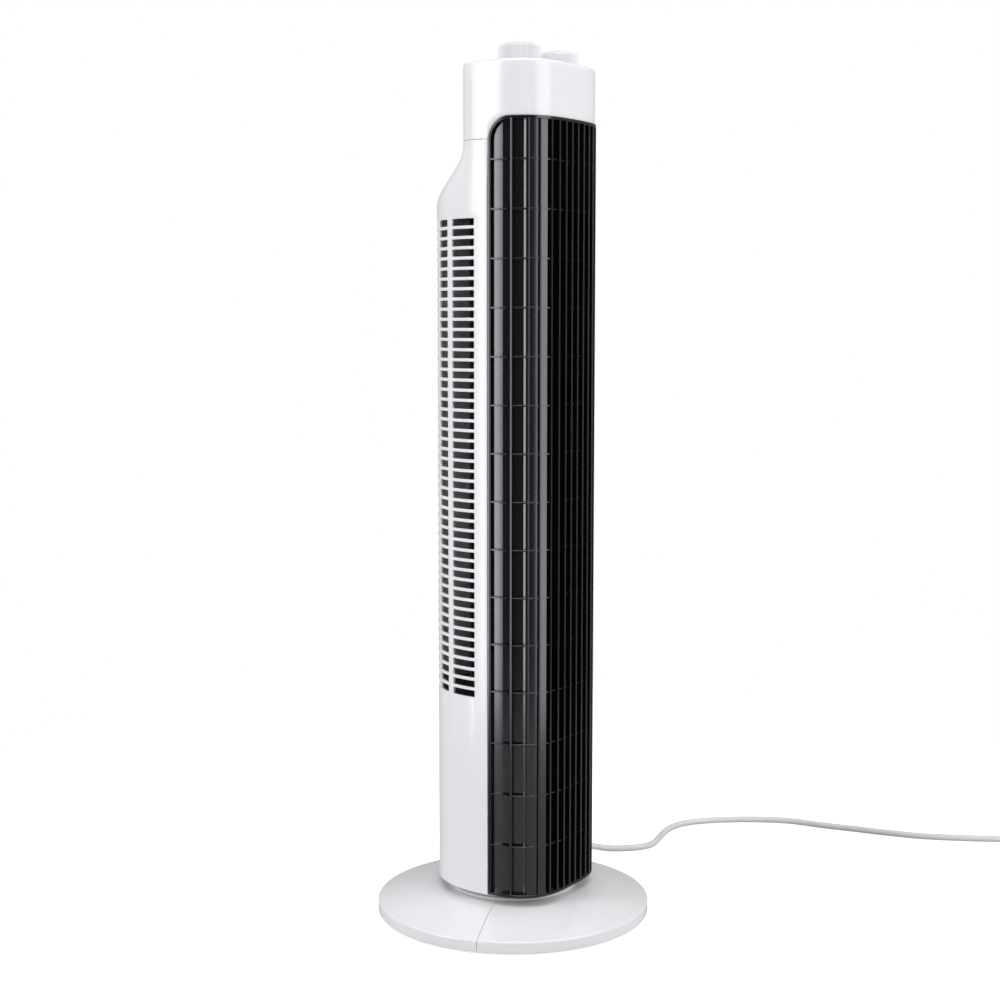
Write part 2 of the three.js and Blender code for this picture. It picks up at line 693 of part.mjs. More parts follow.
function outletCells() {
  const cells = [];
  for (let i = 0; i + 1 < SLATS; i++) {
    const [x0, x1] = [slatX(i) + SLAT_T / 2, slatX(i + 1) - SLAT_T / 2];
    for (let row = 0; row < OUTLET_ROWS; row++) {
      const z = OUTLET_LOW_Z + row * BAR_PITCH;
      cells.push(box(x0, x1, -FRONT_DEPTH - 5, -40, z + BAR_T / 2, z + BAR_PITCH - BAR_T / 2));
    }
  }
  return wasm.Manifold.union(cells);
}

const slatRear = -FRONT_DEPTH + SLAT_DEPTH;
const slats = [];
for (let i = 0; i < SLATS; i++) {
  const x = slatX(i);
  const face = -FRONT_DEPTH + (Math.abs(x) > 3 * SLAT_PITCH ? 3.6 : 1.4);
  const fin = box(x - SLAT_T / 2, x + SLAT_T / 2, face, slatRear, OUTLET_LOW_Z, outletHighZ);
  slats.push(fin);
}
add("front_grille", join(cut(grilleShell, outletCells()), ...slats), GLOSS_BLACK);

// Two upright walls lead the air from the impeller to the slats.
const ductLow = LOWER_BULKHEAD_Z + BULKHEAD_T + FIT;
const ductHigh = UPPER_BULKHEAD_Z - FIT;
function ductWall(side, near, far) {
  const [a, b] = [new THREE.Vector2(...near), new THREE.Vector2(...far)];
  const across = b.clone().sub(a).normalize().rotateAround(new THREE.Vector2(), Math.PI / 2);
  const shift = across.multiplyScalar(DUCT_WALL);
  const loop = [a, b, b.clone().add(shift), a.clone().add(shift)];
  return prism(loop.map((p) => new THREE.Vector2(side * p.x, p.y)), ductLow, ductHigh);
}
const slatEdge = slatX(SLATS - 1) + SLAT_T;
const ductEndY = GRILLE_EDGE_Y + 0.6;
const ductEndX = Math.sqrt((IMPELLER_R + DUCT_GAP) ** 2 - ductEndY ** 2);
add("duct_wall_left", ductWall(-1, [slatEdge, slatRear], [ductEndX, ductEndY]), INNER_BLACK);
add("duct_wall_right", ductWall(1, [slatEdge, slatRear], [ductEndX, ductEndY]), INNER_BLACK);

// ---- Blower ----

function impeller() {
  const discs = [];
  for (let i = 0; i < IMPELLER_DISCS; i++) {
    const step = (IMPELLER_HIGH_Z - DISC_T - IMPELLER_LOW_Z) / (IMPELLER_DISCS - 1);
    const z = IMPELLER_LOW_Z + i * step;
    discs.push(rod(0, 0, IMPELLER_R, z, z + DISC_T, 24));
  }
  const blades = [];
  const middleR = IMPELLER_R - BLADE_CHORD / 2 - 0.5;
  for (let i = 0; i < BLADES; i++) {
    const blade = box(
      -BLADE_CHORD / 2,
      BLADE_CHORD / 2,
      -BLADE_T / 2,
      BLADE_T / 2,
      IMPELLER_LOW_Z + 1,
      IMPELLER_HIGH_Z - 1,
    );
    const place = turned((360 * i) / BLADES).multiply(at(middleR, 0, 0)).multiply(turned(BLADE_TILT));
    blades.push(blade.transform(place.elements));
  }
  const hub = rod(0, 0, 2.4 * SHAFT_R, hubLow, IMPELLER_LOW_Z + 1);
  const bore = rod(0, 0, SHAFT_R + FIT, hubLow - 1, IMPELLER_LOW_Z + DISC_T / 2);
  const stub = rod(0, 0, STUB_R, IMPELLER_HIGH_Z - 1, upperTop + 2);
  return cut(join(...discs, ...blades, hub, stub), bore);
}
const hubLow = LOWER_BULKHEAD_Z + BULKHEAD_T + 1.5;
add("impeller", impeller(), INNER_BLACK);

const statorTop = STATOR_LOW_Z + STATOR_H;
const shaftLow = STATOR_LOW_Z - 10;
add("motor_shaft", rod(0, 0, SHAFT_R, shaftLow, IMPELLER_LOW_Z + DISC_T / 2 - FIT), STEEL);
const rotorHole = SHAFT_R + FIT;
add("motor_rotor", tube(0, 0, rotorHole, ROTOR_R, STATOR_LOW_Z + 1, statorTop - 1), DARK_STEEL);
add("motor_stator", tube(0, 0, ROTOR_R + RUN, STATOR_R, STATOR_LOW_Z, statorTop), DARK_STEEL);

// Each motor cover is a cup whose floor carries the shaft.
const cover = (floorLow, wallLow, wallTop) => {
  const shell = tube(0, 0, MOTOR_R - MOTOR_WALL, MOTOR_R, wallLow, wallTop);
  return join(shell, tube(0, 0, SHAFT_R + FIT, MOTOR_R - 1, floorLow, floorLow + 2));
};
const upperFloor = statorTop + 5;
const lowerFloor = shaftLow + 3;
add("motor_upper_cover", cover(upperFloor, statorTop + FIT, LOWER_BULKHEAD_Z - FIT), STEEL);
add("motor_lower_cover", cover(lowerFloor, lowerFloor, STATOR_LOW_Z - FIT), STEEL);
add(
  "run_capacitor",
  box(-14, 14, MOTOR_R + 1.5, MOTOR_R + 13, LOWER_BULKHEAD_Z - 32, LOWER_BULKHEAD_Z - FIT),
  SATIN_WHITE,
);

// ---- Head ----

const capSection = (z, inset) => wholeSection(z, inset, HEAD_INSET);
const capOuterLevels = [CAP_SEAM_Z, CAP_TOP_Z - CAP_ROUND, CAP_TOP_Z - 1, CAP_TOP_Z];
const capInsetAt = new Map([
  [CAP_TOP_Z - 1, CAP_ROUND * 0.25],
  [CAP_TOP_Z, CAP_ROUND],
]);
const capOuter = loft(capOuterLevels, (z) => capSection(z, capInsetAt.get(z) ?? 0));
const capInner = prism(capSection(CAP_SEAM_Z, HOUSING_WALL), 0, CAP_TOP_Z - HOUSING_WALL);
const capNotch = aheadOf(GRILLE_EDGE_Y + FIT, 0, GRILLE_TOP_Z + FIT, GRILLE_CORNER_R + FIT);
const stemHoles = [-1, 1].map((side) =>
  rod(side * KNOB_X, KNOB_Y, STEM_R + RUN, CAP_TOP_Z - 10, CAP_TOP_Z + 5),
);
add("top_cap", cut(capOuter, capInner, capNotch, ...stemHoles), GLOSS_WHITE);

const bracketPlate = prism(
  capSection(CAP_SEAM_Z, HOUSING_WALL + SHELL_GAP),
  BRACKET_Z,
  BRACKET_Z + BRIDGE_T,
);
add("switch_bracket", cut(bracketPlate, wireHole), DARK_STEEL);

const switchLow = BRACKET_Z + BRIDGE_T + FIT;
const switchBox = (x) =>
  box(x - SWITCH_HALF_W, x + SWITCH_HALF_W, KNOB_Y - SWITCH_HALF_D, KNOB_Y + SWITCH_HALF_D, switchLow,
    SWITCH_TOP_Z);
add("speed_switch", switchBox(-KNOB_X), SWITCH_GREY);
add("timer_unit", switchBox(KNOB_X), SWITCH_GREY);

function knob(x) {
  const low = CAP_TOP_Z + FIT;
  const side = low + KNOB_SIDE_H;
  const top = side + KNOB_DOME_H;
  const stemLow = SWITCH_TOP_Z + FIT;
  const profile = [
    [0, stemLow],
    [STEM_R, stemLow],
    [STEM_R, low],
    [KNOB_R, low],
    [KNOB_R, side],
    [KNOB_R - 1.2, side + 1.6],
    [KNOB_R - 4.5, side + 3],
    [0, top],
  ];
  return turn(profile, 28, x, KNOB_Y);
}
add("speed_knob", knob(-KNOB_X), SATIN_WHITE);
add("timer_knob", knob(KNOB_X), SATIN_WHITE);

// ---- Wiring held inside ----

const baseLead = [
  alongSeam(BASE_R - GLAND_INSIDE - FIT, GLAND_Z),
  alongSeam(88, 7.5),
  alongSeam(60, 12),
  alongSeam(25, 12.2),
  alongSeam(8, 14),
  [0, 0, underTop],
  [0, 0, floorTop],
  [0, 0, swingMotorZ + 2],
];
add("base_lead", lead(baseLead, LEAD_R - 0.2, 22, 8), CORD_WHITE);
const leadTop = swingMotorZ + 2 + FIT;
add("lead_clamp", box(-8, 8, -3, 12, leadTop, leadTop + 10), INNER_BLACK);
const towerLead = [
  [-8 - FIT, 6, leadTop + 5],
  [-24, 4, leadTop + 7],
  [-40, -4, leadTop + 16],
  [SWITCH_LEAD_X + 1, SWITCH_LEAD_Y + 4, leadTop + 34],
  [SWITCH_LEAD_X, SWITCH_LEAD_Y, leadTop + 60],
  [SWITCH_LEAD_X, SWITCH_LEAD_Y, LOWER_BULKHEAD_Z],
  [SWITCH_LEAD_X, SWITCH_LEAD_Y, 400],
  [SWITCH_LEAD_X, SWITCH_LEAD_Y, UPPER_BULKHEAD_Z],
  [SWITCH_LEAD_X, SWITCH_LEAD_Y, BRACKET_Z],
  [SWITCH_LEAD_X, SWITCH_LEAD_Y, BRACKET_Z + 12],
];
add("switch_lead", lead(towerLead, LEAD_R - 1, 32, 8), CORD_WHITE);

// ---- Cord, coil and plug ----

function glandBody() {
  const inner = BASE_R - GLAND_INSIDE;
  const flange = bar(alongSeam(inner, GLAND_Z), alongSeam(inner + 3, GLAND_Z), GLAND_FLANGE_R);
  const neck = bar(alongSeam(inner + 1, GLAND_Z), alongSeam(BASE_R + 1, GLAND_Z), GLAND_R);
  const taperStart = BASE_R + FIT;
  const taper = bar(
    alongSeam(taperStart, GLAND_Z),
    alongSeam(taperStart + GLAND_L, GLAND_Z),
    5.4,
    12,
    LEAD_R + 0.8,
  );
  return join(flange, neck, taper);
}
add("cord_gland", glandBody(), CORD_WHITE);
add("mains_cord", lead(CORD_ROUTE, LEAD_R, 42, 8), CORD_WHITE);

// The route ends short of the coil's side, on the tangent of the outermost turn.
const coilOuterR = COIL_TURN_R + LEAD_R;
const clearOf = (turnR) => Math.sqrt((coilOuterR + LEAD_R + FIT) ** 2 - turnR ** 2);
const heading = polar(1, CORD_END_TURN);
const leftOf = [-heading[1], heading[0]];
const routeEnd = CORD_ROUTE[CORD_ROUTE.length - 1];
const tangent = [0, 1].map((i) => routeEnd[i] + heading[i] * clearOf(COIL_TURN_R));
const coilCentre = [0, 1].map((i) => tangent[i] + leftOf[i] * COIL_TURN_R);
add("cord_coil", tube(...coilCentre, COIL_INNER_R, coilOuterR, 0, COIL_H, 36), CORD_WHITE);

const fromTangent = (s, z) => [tangent[0] + heading[0] * s, tangent[1] + heading[1] * s, z];
const tailStart = clearOf(COIL_TURN_R) - FIT;
const tail = [
  fromTangent(tailStart, 8.4),
  fromTangent(tailStart + 10, 7.8),
  fromTangent(PLUG_START - 12, 7.2),
  fromTangent(PLUG_START - FIT, PLUG_Z),
];
add("cord_tail", lead(tail, LEAD_R, 5), CORD_WHITE);

const plugPlace = at(...fromTangent(PLUG_START, 0)).multiply(turned(CORD_END_TURN));
const plugOutline = [
  [8, -4.6],
  [16, -PLUG_W / 2 + 3],
  [PLUG_L - 6, -PLUG_W / 2],
  [PLUG_L, -PLUG_W / 2 + 2],
  [PLUG_L, PLUG_W / 2 - 2],
  [PLUG_L - 6, PLUG_W / 2],
  [16, PLUG_W / 2 - 3],
  [8, 4.6],
].map(([x, y]) => new THREE.Vector2(x, y));
const plugShape = join(
  prism(plugOutline, 0, 2 * PLUG_Z),
  bar([0, 0, PLUG_Z], [10, 0, PLUG_Z], LEAD_R + 1, 12, LEAD_R + 1.6),
);
add("plug_body", plugShape.transform(plugPlace.elements), CORD_WHITE);
[-1, 1].forEach((side, i) => {
  const y = (side * PIN_SPACING) / 2;
  const pin = bar([PLUG_L + FIT, y, PLUG_Z], [PLUG_L + FIT + PIN_L, y, PLUG_Z], 2, 12, 1.9);
  add("plug_pin_" + (i + 1), pin.transform(plugPlace.elements), BRASS);
});

export default group;
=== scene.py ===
"""Looks of the tower fan: fine meshes, materials, cord, light and camera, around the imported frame."""
import json
import math

import bmesh
import bpy
from mathutils import Matrix, Vector


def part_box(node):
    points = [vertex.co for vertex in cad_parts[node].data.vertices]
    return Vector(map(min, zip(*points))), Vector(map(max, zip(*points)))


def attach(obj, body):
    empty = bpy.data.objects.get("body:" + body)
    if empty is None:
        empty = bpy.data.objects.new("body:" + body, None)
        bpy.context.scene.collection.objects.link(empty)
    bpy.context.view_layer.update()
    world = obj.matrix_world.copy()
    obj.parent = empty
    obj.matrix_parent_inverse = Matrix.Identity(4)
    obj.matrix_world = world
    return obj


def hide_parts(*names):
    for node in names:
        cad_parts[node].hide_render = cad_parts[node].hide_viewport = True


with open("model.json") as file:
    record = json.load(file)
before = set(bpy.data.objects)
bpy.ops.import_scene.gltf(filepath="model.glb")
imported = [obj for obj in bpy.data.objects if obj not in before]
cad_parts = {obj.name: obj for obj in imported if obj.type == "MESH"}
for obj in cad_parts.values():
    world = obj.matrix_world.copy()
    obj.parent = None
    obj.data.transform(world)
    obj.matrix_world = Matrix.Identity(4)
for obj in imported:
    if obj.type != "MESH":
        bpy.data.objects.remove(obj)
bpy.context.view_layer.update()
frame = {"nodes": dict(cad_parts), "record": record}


scene = bpy.context.scene
MM = 0.001


def span(node):
    """A node's box in millimetres: its lowest and its highest corner."""
    return [[value / MM for value in corner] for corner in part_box(node)]


# ---- Camera, at the height and distance of a person who photographs a fan on a table ----

CAMERA_TURN = math.radians(-56)
CAMERA_PITCH = math.radians(6.083)
CAMERA_FAR = 1.4574
CAMERA_SIDE = 0.01134
CAMERA_HEIGHT = 0.5142
toward = Vector((math.sin(CAMERA_TURN), -math.cos(CAMERA_TURN), 0))
right = Vector((math.cos(CAMERA_TURN), math.sin(CAMERA_TURN), 0))


def make_camera():
    data = bpy.data.cameras.new("camera")
    data.sensor_width = 36
    data.lens = 61.74
    camera = bpy.data.objects.new("camera", data)
    scene.collection.objects.link(camera)
    camera.location = toward * CAMERA_FAR - right * CAMERA_SIDE + Vector((0, 0, CAMERA_HEIGHT))
    look = -toward * math.cos(CAMERA_PITCH) - Vector((0, 0, math.sin(CAMERA_PITCH)))
    camera.rotation_mode = "QUATERNION"
    camera.rotation_quaternion = look.to_track_quat("-Z", "Y")
    scene.camera = camera


make_camera()

# ---- Materials ----


def new_material(name, color, roughness, metallic=0.0, **sockets):
    material = bpy.data.materials.new(name)
    material.use_nodes = True
    shader = material.node_tree.nodes["Principled BSDF"]
    shader.inputs["Base Color"].default_value = (*color, 1)
    shader.inputs["Roughness"].default_value = roughness
    shader.inputs["Metallic"].default_value = metallic
    for socket, value in sockets.items():
        shader.inputs[socket.replace("_", " ")].default_value = value
    return material


def vary(material, color, drift, roughness, rough_drift, scale, detail=4):
    """Colour and roughness drift slowly over the surface, as a moulded or rolled surface does."""
    tree = material.node_tree
    shader = tree.nodes["Principled BSDF"]
    place = tree.nodes.new("ShaderNodeTexCoord")
    noise = tree.nodes.new("ShaderNodeTexNoise")
    noise.inputs["Scale"].default_value = scale
    noise.inputs["Detail"].default_value = detail
    tree.links.new(place.outputs["Object"], noise.inputs["Vector"])
    tint = tree.nodes.new("ShaderNodeMixRGB")
    tint.inputs["Color1"].default_value = (*[c * (1 - drift) for c in color], 1)
    tint.inputs["Color2"].default_value = (*[min(1, c * (1 + drift)) for c in color], 1)
    tree.links.new(noise.outputs["Fac"], tint.inputs["Fac"])
    tree.links.new(tint.outputs["Color"], shader.inputs["Base Color"])
    spread = tree.nodes.new("ShaderNodeMapRange")
    spread.inputs["To Min"].default_value = roughness - rough_drift
    spread.inputs["To Max"].default_value = roughness + rough_drift
    tree.links.new(noise.outputs["Fac"], spread.inputs["Value"])
    tree.links.new(spread.outputs["Result"], shader.inputs["Roughness"])
    return place


def grain(material, place, scale, strength, distance, stretch=(1, 1, 1)):
    """Fine bump: the texture of a mould, a rolled sheet or a sheath."""
    tree = material.node_tree
    mapping = tree.nodes.new("ShaderNodeMapping")
    mapping.inputs["Scale"].default_value = stretch
    noise = tree.nodes.new("ShaderNodeTexNoise")
    noise.inputs["Scale"].default_value = scale
    noise.inputs["Detail"].default_value = 2
    bump = tree.nodes.new("ShaderNodeBump")
    bump.inputs["Strength"].default_value = strength
    bump.inputs["Distance"].default_value = distance
    tree.links.new(place.outputs["Object"], mapping.inputs["Vector"])
    tree.links.new(mapping.outputs["Vector"], noise.inputs["Vector"])
    tree.links.new(noise.outputs["Fac"], bump.inputs["Height"])
    tree.links.new(bump.outputs["Normal"], tree.nodes["Principled BSDF"].inputs["Normal"])


def plastic(name, color, roughness, drift=0.012, bump=0.05, size=900, stretch=(1, 1, 1), **more):
    material = new_material(name, color, roughness, **more)
    place = vary(material, color, drift, roughness, 0.03, 14)
    grain(material, place, size, bump, 0.0004, stretch)
    return material


def metal(name, color, roughness, stretch=(1, 1, 8), bump=0.08):
    material = new_material(name, color, roughness, 1.0)
    place = vary(material, color, 0.08, roughness, 0.08, 40)
    grain(material, place, 500, bump, 0.0003, stretch)
    return material


WHITE = (0.85, 0.85, 0.88)
looks = {
    "gloss_white": plastic("gloss_white", WHITE, 0.24, Coat_Weight=0.25, Coat_Roughness=0.12),
    "cap_white": plastic("cap_white", WHITE, 0.24, Coat_Weight=0.25, Coat_Roughness=0.12),
    "knob_white": plastic("knob_white", (0.74, 0.74, 0.765), 0.42, bump=0.12),
    "gloss_black": plastic(
        "gloss_black", (0.005, 0.005, 0.006), 0.2, 0.1, 0.04, 1400,
        Specular_IOR_Level=0.83, Specular_Tint=(0.93, 0.92, 1, 1),
    ),
    "inner_black": plastic("inner_black", (0.012, 0.012, 0.013), 0.42, 0.15, 0.2, 700),
    "inner_white": plastic("inner_white", (0.72, 0.72, 0.7), 0.5, 0.03, 0.15, 500),
    "rubber": plastic("rubber", (0.03, 0.03, 0.031), 0.8, 0.2, 0.4, 900),
    "cord_white": plastic("cord_white", (0.71, 0.71, 0.735), 0.42, 0.02, 0.15, 600),
    "switch_grey": plastic("switch_grey", (0.5, 0.49, 0.45), 0.55, 0.05, 0.15, 500),
    "sheet_steel": metal("sheet_steel", (0.52, 0.53, 0.54), 0.36),
    "dark_steel": metal("dark_steel", (0.12, 0.125, 0.13), 0.5),
    "screw_steel": metal("screw_steel", (0.58, 0.58, 0.59), 0.3, (1, 1, 1)),
    "pin_brass": metal("pin_brass", (0.66, 0.65, 0.61), 0.22, (1, 1, 1)),
    "bush_bronze": metal("bush_bronze", (0.35, 0.21, 0.1), 0.48, (1, 1, 1)),
}


def dress_frame():
    """Every carried-over CAD node takes its slot's material."""
    for row in frame["record"]["subparts"]:
        node = frame["nodes"][row["node"]]
        node.data.materials.clear()
        node.data.materials.append(looks[row["material_slot"]])


dress_frame()

# ---- Mesh tools ----


def settle(piece, smooth_angle=35):
    """Applies the modifiers, and shades smooth but for the true edges."""
    graph = bpy.context.evaluated_depsgraph_get()
    mesh = bpy.data.meshes.new_from_object(piece.evaluated_get(graph))
    piece.modifiers.clear()
    piece.data = mesh
    mesh.polygons.foreach_set("use_smooth", [True] * len(mesh.polygons))
    mesh.set_sharp_from_angle(angle=math.radians(smooth_angle))
    return piece


def build(name, points, faces, slot, body, *stands_for):
    """A piece from points in millimetres."""
    mesh = bpy.data.meshes.new(name)
    mesh.from_pydata([tuple(value * MM for value in p) for p in points], [], faces)
    work = bmesh.new()
    work.from_mesh(mesh)
    bmesh.ops.remove_doubles(work, verts=work.verts, dist=1e-6)
    bmesh.ops.recalc_face_normals(work, faces=work.faces)
    work.to_mesh(mesh)
    work.free()
    piece = bpy.data.objects.new(name, mesh)
    scene.collection.objects.link(piece)
    mesh.materials.append(looks[slot])
    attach(piece, body)
    if stands_for:
        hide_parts(*stands_for)
    return piece


def grid_faces(rows, columns, closed=False, skip=lambda i, j: False):
    faces = []
    for i in range(rows - 1):
        for j in range(columns if closed else columns - 1):
            if skip(i, j):
                continue
            k = (j + 1) % columns
            faces.append((i * columns + j, i * columns + k, (i + 1) * columns + k, (i + 1) * columns + j))
    return faces


def shell(piece, wall):
    """Gives a sheet its wall, inward from the face it was drawn on."""
    thick = piece.modifiers.new("wall", "SOLIDIFY")
    thick.thickness = wall * MM
    thick.offset = -1
    thick.use_even_offset = True


def bevel(piece, width, angle=50, segments=2):
    edge = piece.modifiers.new("edge", "BEVEL")
    edge.width = width * MM
    edge.segments = segments
    edge.limit_method = "ANGLE"
    edge.angle_limit = math.radians(angle)


def carve(piece, tool_parts):
    """Cuts closed solids, in millimetres, out of a piece."""
    mesh = bpy.data.meshes.new("cutter")
    mesh.from_pydata([tuple(value * MM for value in p) for p in tool_parts.points], [], tool_parts.faces)
    work = bmesh.new()
    work.from_mesh(mesh)
    bmesh.ops.recalc_face_normals(work, faces=work.faces)
    work.to_mesh(mesh)
    work.free()
    tool = bpy.data.objects.new("cutter", mesh)
    scene.collection.objects.link(tool)
    cut = piece.modifiers.new("cut", "BOOLEAN")
    cut.object = tool
    cut.solver = "EXACT"
    cut.use_self = True
    settle(piece)
    bpy.data.objects.remove(tool)


class Parts:
    """Collects several closed solids into one mesh."""

    def __init__(self):
        self.points = []
        self.faces = []

    def add(self, points, faces):
        start = len(self.points)
        self.points += [tuple(p) for p in points]
        self.faces += [tuple(start + i for i in face) for face in faces]

    def rings(self, rings, loop=False):
        """A solid through rings of points. It is capped at both ends unless it loops."""
        count = len(rings[0])
        points = [p for ring in rings for p in ring]
        faces = grid_faces(len(rings), count, True)
        if loop:
            last = (len(rings) - 1) * count
            faces += [(last + j, last + (j + 1) % count, (j + 1) % count, j) for j in range(count)]
        else:
            faces.append(tuple(range(count))[::-1])
            faces.append(tuple(range(len(points) - count, len(points))))
        self.add(points, faces)

    def spin(self, profile, sides, x=0, y=0):
        """A solid of revolution from [radius, z] points that form a closed loop."""
        rings = []
        for i in range(sides):
            c, s = math.cos(2 * math.pi * i / sides), math.sin(2 * math.pi * i / sides)
            rings.append([(x + r * c, y + r * s, z) for r, z in profile])
        self.rings(rings, loop=True)


def smoothstep(value, low, high):
    t = min(1, max(0, (value - low) / (high - low)))
    return t * t * (3 - 2 * t)


def subdivide(stops, step):
    """Values from the first stop to the last, through all of them, about a step apart."""
    values = [stops[0]]
    for low, high in zip(stops, stops[1:]):
        count = max(1, round((high - low) / step))
        values += [low + (high - low) * i / count for i in range(1, count + 1)]
    return values


# ---- The column's section ----

housing_low, housing_high = span("rear_housing")
grille_low, grille_high = span("front_grille")
cap_low, cap_high = span("top_cap")
HALF_WIDTH = housing_high[0]
FRONT_DEPTH = -grille_low[1]
REAR_DEPTH = housing_high[1]
HEAD_HALF = cap_high[0]
HEAD_REAR = cap_high[1]
HEAD_FRONT = -cap_low[1]
FRONT_SQUARE, REAR_SQUARE, HEAD_SQUARE = 3.3, 2.0, 2.2
SHOULDER = (607, 654)


def super_point(width, depth, square, degrees):
    c, s = math.cos(math.radians(degrees)), math.sin(math.radians(degrees))
    x = math.copysign(width * abs(c) ** (2 / square), c)
    y = math.copysign(depth * abs(s) ** (2 / square), s)
    return x, y


def rear_point(degrees, z):
    t = smoothstep(z, *SHOULDER)
    width = HALF_WIDTH + (HEAD_HALF - HALF_WIDTH) * t
    depth = REAR_DEPTH + (HEAD_REAR - REAR_DEPTH) * t
    return super_point(width, depth, REAR_SQUARE + (HEAD_SQUARE - REAR_SQUARE) * t, degrees)


# ---- Rear housing ----

SLOT_LOW, SLOT_H, SLOT_PITCH, SLOT_ROWS = 198.4, 5.7, 8.3, 48
SLOT_COLUMNS = [(0, 20.5), (26.7, 42), (50, 62)]
SLOT_FRONT_Y = -1.4  # the first column starts on the flat side, just ahead of the widest line
WALL = 2.5


def make_housing():
    all_columns = SLOT_COLUMNS + [(180 - b, 180 - a) for a, b in reversed(SLOT_COLUMNS)]
    stops = sorted({0, 90, 180, *[t for pair in all_columns for t in pair]})
    turns = subdivide(stops, 2.9)
    low, high = housing_low[2], housing_high[2]
    slot_zs = [SLOT_LOW + SLOT_PITCH * row + up for row in range(SLOT_ROWS) for up in (0, SLOT_H)]
    shoulder_zs = subdivide([SHOULDER[0], SHOULDER[1]], 2)
    zs = [low, low + 0.8, 90, 150, *slot_zs, 600, *shoulder_zs, high - 0.8, high]
    edge_y = housing_low[1]
    points = []
    for z in zs:
        ring = [rear_point(t, z) for t in turns]
        side = ring[0][0]
        flat = [edge_y, -8, SLOT_FRONT_Y]
        ring = [(side, y) for y in flat] + ring + [(-side, y) for y in reversed(flat)]
        points += [(x, y, z) for x, y in ring]
    slot_starts = set(range(4, 4 + 2 * SLOT_ROWS, 2))

    columns = len(turns) + 6

    def is_slot(i, j):
        if i not in slot_starts or not 2 <= j < columns - 3:
            return False
        if j in (2, columns - 4):
            return True
        middle = (turns[j - 3] + turns[j - 2]) / 2
        return any(a < middle < b for a, b in all_columns)

    faces = grid_faces(len(zs), columns, skip=is_slot)
    piece = build("rear_housing_shell", points, faces, "gloss_white", "tower", "rear_housing")
    shell(piece, WALL)
    bevel(piece, 0.35)
    return settle(piece)


make_housing()

# ---- Grille ----

EDGE_Y = grille_high[1]
FRAME_W = 2.5
FRAME_T = 4.2
CORNER_R = 18.7
OUTLET = (205.4, 600.9)
BARS = [31.4 + 43.5 * i for i in range(1, 4)] + [205.4 + 39.55 * i for i in range(12)]
SLATS = [(i - 3.5) * 9.1 for i in range(8)]
# The upright ribs of one half: distance from the edge, width, and back behind the outline.
RIBS = [(21, 1.6, -7.4), (35.8, 1.5, -5.5), (45.7, 1.9, -5.0)]
SLAT_W, SLAT_DEPTH = 1.8, 9.0
GRILLE_SMOOTH = 14
# The closed panels behind the ribs: distance from the edge, and depth behind the outline.
PANELS = [
    (1.6, -3.8), (12.4, -3.8), (20.8, -6.6), (21.2, -5.2), (31.7, -5.2), (33.6, -4.1), (35.6, -4.1),
    (36.2, -1.3), (43.8, -1.3), (43.9, -3.0), (45.4, -3.0), (45.6, -1.3), (53.1, -1.3), (53.7, -6.0),
]
SHEET_T = 1.4
BAR_NEAR, BAR_FAR = -0.9, -6.2  # a crossbar's front and back, behind the outline
SLAT_BAR_T = 1.1
SLAT_BAR_FAR = -7


def front_line():
    """Points along the grille's outline, each with its distance from the left edge and its normal."""
    fine = [super_point(HALF_WIDTH, FRONT_DEPTH, FRONT_SQUARE, 180 + 180 * i / 4000) for i in range(4001)]
    fine = [p for p in fine if p[1] <= EDGE_Y]
    line, run = [], 0
    for i, (x, y) in enumerate(fine):
        before, after = fine[max(0, i - 1)], fine[min(len(fine) - 1, i + 1)]
        if i:
            run += math.dist(fine[i - 1], (x, y))
        dx, dy = after[0] - before[0], after[1] - before[1]
        size = math.hypot(dx, dy)
        line.append((run, x, y, dy / size, -dx / size))
    return line


LINE = front_line()
ARC = LINE[-1][0]


def on_front(s, out=0.0):
    """The point a distance along the outline, moved out along its normal."""
    s = min(max(s, 0), ARC)
    low, high = 0, len(LINE) - 1
    while high - low > 1:
        middle = (low + high) // 2
        low, high = (middle, high) if LINE[middle][0] <= s else (low, middle)
    a, b = LINE[low], LINE[high]
    t = (s - a[0]) / max(1e-9, b[0] - a[0])
    x, y, nx, ny = [a[k] + (b[k] - a[k]) * t for k in range(1, 5)]
    return x + nx * out, y + ny * out


def run_at(x):
    """How far along the outline the front reaches an x."""
    return min(LINE, key=lambda row: abs(row[1] - x) + (0 if row[2] < -50 else 100))[0]


def top_at(s, inset):
    """The upper edge at a distance along the outline, inside the frame by an inset."""
    away = min(s, ARC - s)
    radius = CORNER_R - inset
    along = away - inset
    drop = 0
    if along < radius:
        drop = radius - math.sqrt(max(0, radius**2 - (radius - along) ** 2))
    return grille_high[2] - inset - drop


